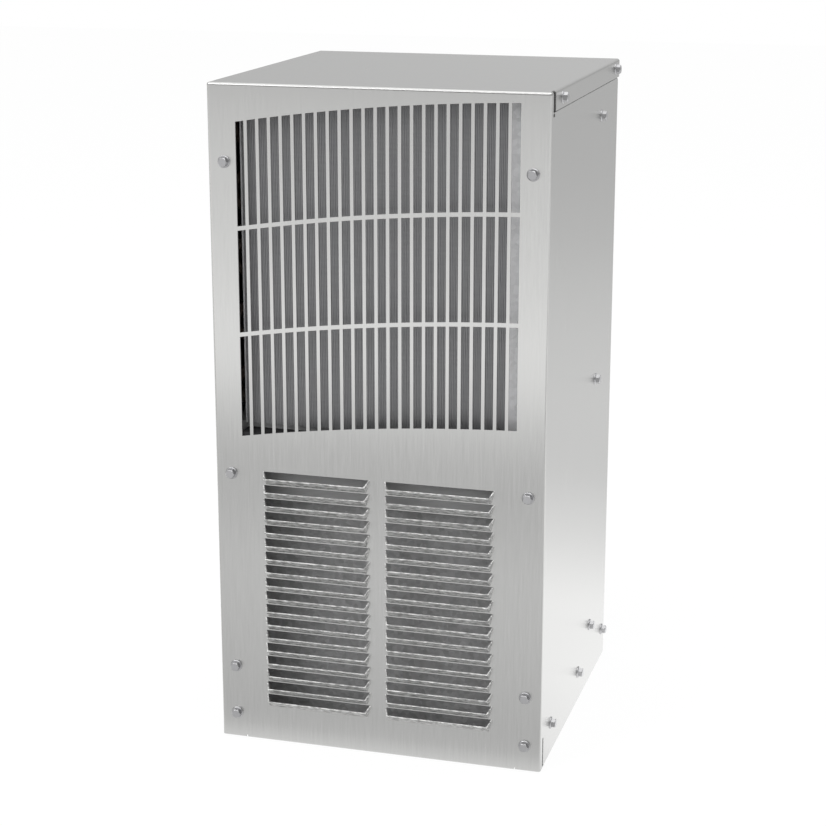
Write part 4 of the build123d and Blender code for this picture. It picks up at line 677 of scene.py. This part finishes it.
class COOLER_OT_stage(bpy.types.Operator):
    """Floor, soft light, white background and camera"""
    bl_idname = "cooler.stage"
    bl_label = "Stage"

    def execute(self, context):
        sizes = context.scene.cooler_stage
        self.floor(sizes)
        self.world(context.scene, sizes)
        area_light("Key light", sizes.key, **KEY_LIGHT)
        area_light("Top light", sizes.top, **TOP_LIGHT)
        self.camera(context.scene, sizes)
        context.scene.view_settings.view_transform = "Standard"
        return {"FINISHED"}

    def floor(self, sizes):
        bm = bmesh.new()
        bmesh.ops.create_grid(bm, x_segments=1, y_segments=1, size=sizes.floor_size / 2)
        mesh = bpy.data.meshes.new("floor")
        bm.to_mesh(mesh)
        bm.free()
        material = bpy.data.materials.new("Floor")
        material.use_nodes = True
        tree = material.node_tree
        graph = Graph(tree)
        shader = tree.nodes["Principled BSDF"]
        shader.inputs["Base Color"].default_value = (*sizes.floor_colour, 1.0)
        shader.inputs["Roughness"].default_value = FLOOR_ROUGHNESS
        straight, mirrored = background_rays(graph)
        place = graph.add("ShaderNodeSeparateXYZ")
        graph.join(graph.object_place(), place.inputs[0])
        shown = graph.ramp(place.outputs["Y"], FLOOR_SHOWN[0][0], FLOOR_SHOWN[-1][0], FLOOR_SHOWN)
        glow = graph.add("ShaderNodeEmission")
        graph.join(graph.blend_values(mirrored, sizes.floor_white, shown), glow.inputs["Strength"])
        both = graph.add("ShaderNodeMixShader")
        share = graph.calculate("MAXIMUM", graph.calculate("MULTIPLY", straight, FLOOR_GLOW), mirrored)
        graph.join(share, both.inputs[0])
        graph.join(shader.outputs[0], both.inputs[1])
        graph.join(glow.outputs[0], both.inputs[2])
        graph.join(both.outputs[0], tree.nodes["Material Output"].inputs["Surface"])
        mesh.materials.append(material)
        floor = bpy.data.objects.new("floor", mesh)
        bpy.context.collection.objects.link(floor)

    def world(self, scene, sizes):
        world = bpy.data.worlds.new("Studio")
        scene.world = world
        world.use_nodes = True
        tree = world.node_tree
        graph = Graph(tree)
        back = tree.nodes["Background"]
        back.inputs["Color"].default_value = (1.0, 1.0, 1.0, 1.0)
        straight, mirrored = background_rays(graph)
        way = graph.add("ShaderNodeSeparateXYZ")
        graph.join(graph.add("ShaderNodeTexCoord").outputs["Generated"], way.inputs[0])
        along = graph.ramp(way.outputs["Y"], -1.0, 1.0, ROOM_FRONT_TO_BACK)
        across = graph.ramp(way.outputs["X"], -1.0, 1.0, ROOM_LEFT_TO_RIGHT)
        low = graph.calculate("MULTIPLY", along, across)
        high = graph.range(way.outputs["Z"], OVERHEAD_STARTS[0], OVERHEAD_STARTS[1], 0.0, 1.0)
        room = graph.blend_values(high, low, OVERHEAD)
        light = graph.blend_values(mirrored, sizes.sky, room)
        graph.join(graph.blend_values(straight, light, 1.0), back.inputs["Strength"])

    def camera(self, scene, sizes):
        lens = bpy.data.cameras.new("Camera")
        lens.lens = sizes.lens
        lens.sensor_width = SENSOR_WIDTH
        camera = bpy.data.objects.new("Camera", lens)
        camera.location = sizes.eye
        camera.rotation_euler = Euler((math.radians(90) - sizes.dip, 0.0, sizes.turn))
        bpy.context.collection.objects.link(camera)
        scene.camera = camera


STEPS = (
    COOLER_OT_sheet, COOLER_OT_fasteners, COOLER_OT_frame, COOLER_OT_coils, COOLER_OT_machines,
    COOLER_OT_seals, COOLER_OT_controls, COOLER_OT_stage,
)


class COOLER_PT_panel(bpy.types.Panel):
    """Steps and settings of the cooler's looks"""
    bl_label = "Enclosure air conditioner"
    bl_idname = "COOLER_PT_panel"
    bl_space_type = "VIEW_3D"
    bl_region_type = "UI"
    bl_category = "Cooler"

    def draw(self, context):
        for step in STEPS:
            self.layout.operator(step.bl_idname)
        scene = context.scene
        for group in (scene.cooler_finishes, scene.cooler_controls, scene.cooler_stage):
            box = self.layout.box()
            for key in group.bl_rna.properties.keys():
                if key not in ("rna_type", "name"):
                    box.prop(group, key)


CLASSES = (CoolerFinishes, CoolerControls, CoolerStage, *STEPS, COOLER_PT_panel)


def register():
    for item in CLASSES:
        bpy.utils.register_class(item)
    bpy.types.Scene.cooler_finishes = PointerProperty(type=CoolerFinishes)
    bpy.types.Scene.cooler_controls = PointerProperty(type=CoolerControls)
    bpy.types.Scene.cooler_stage = PointerProperty(type=CoolerStage)


def unregister():
    del bpy.types.Scene.cooler_stage
    del bpy.types.Scene.cooler_controls
    del bpy.types.Scene.cooler_finishes
    for item in reversed(CLASSES):
        bpy.utils.unregister_class(item)


def main():
    register()
    bpy.ops.cooler.sheet()
    bpy.ops.cooler.fasteners()
    bpy.ops.cooler.frame()
    bpy.ops.cooler.coils()
    bpy.ops.cooler.machines()
    bpy.ops.cooler.seals()
    bpy.ops.cooler.controls()
    bpy.ops.cooler.stage()


if __name__ == "__main__":
    main()
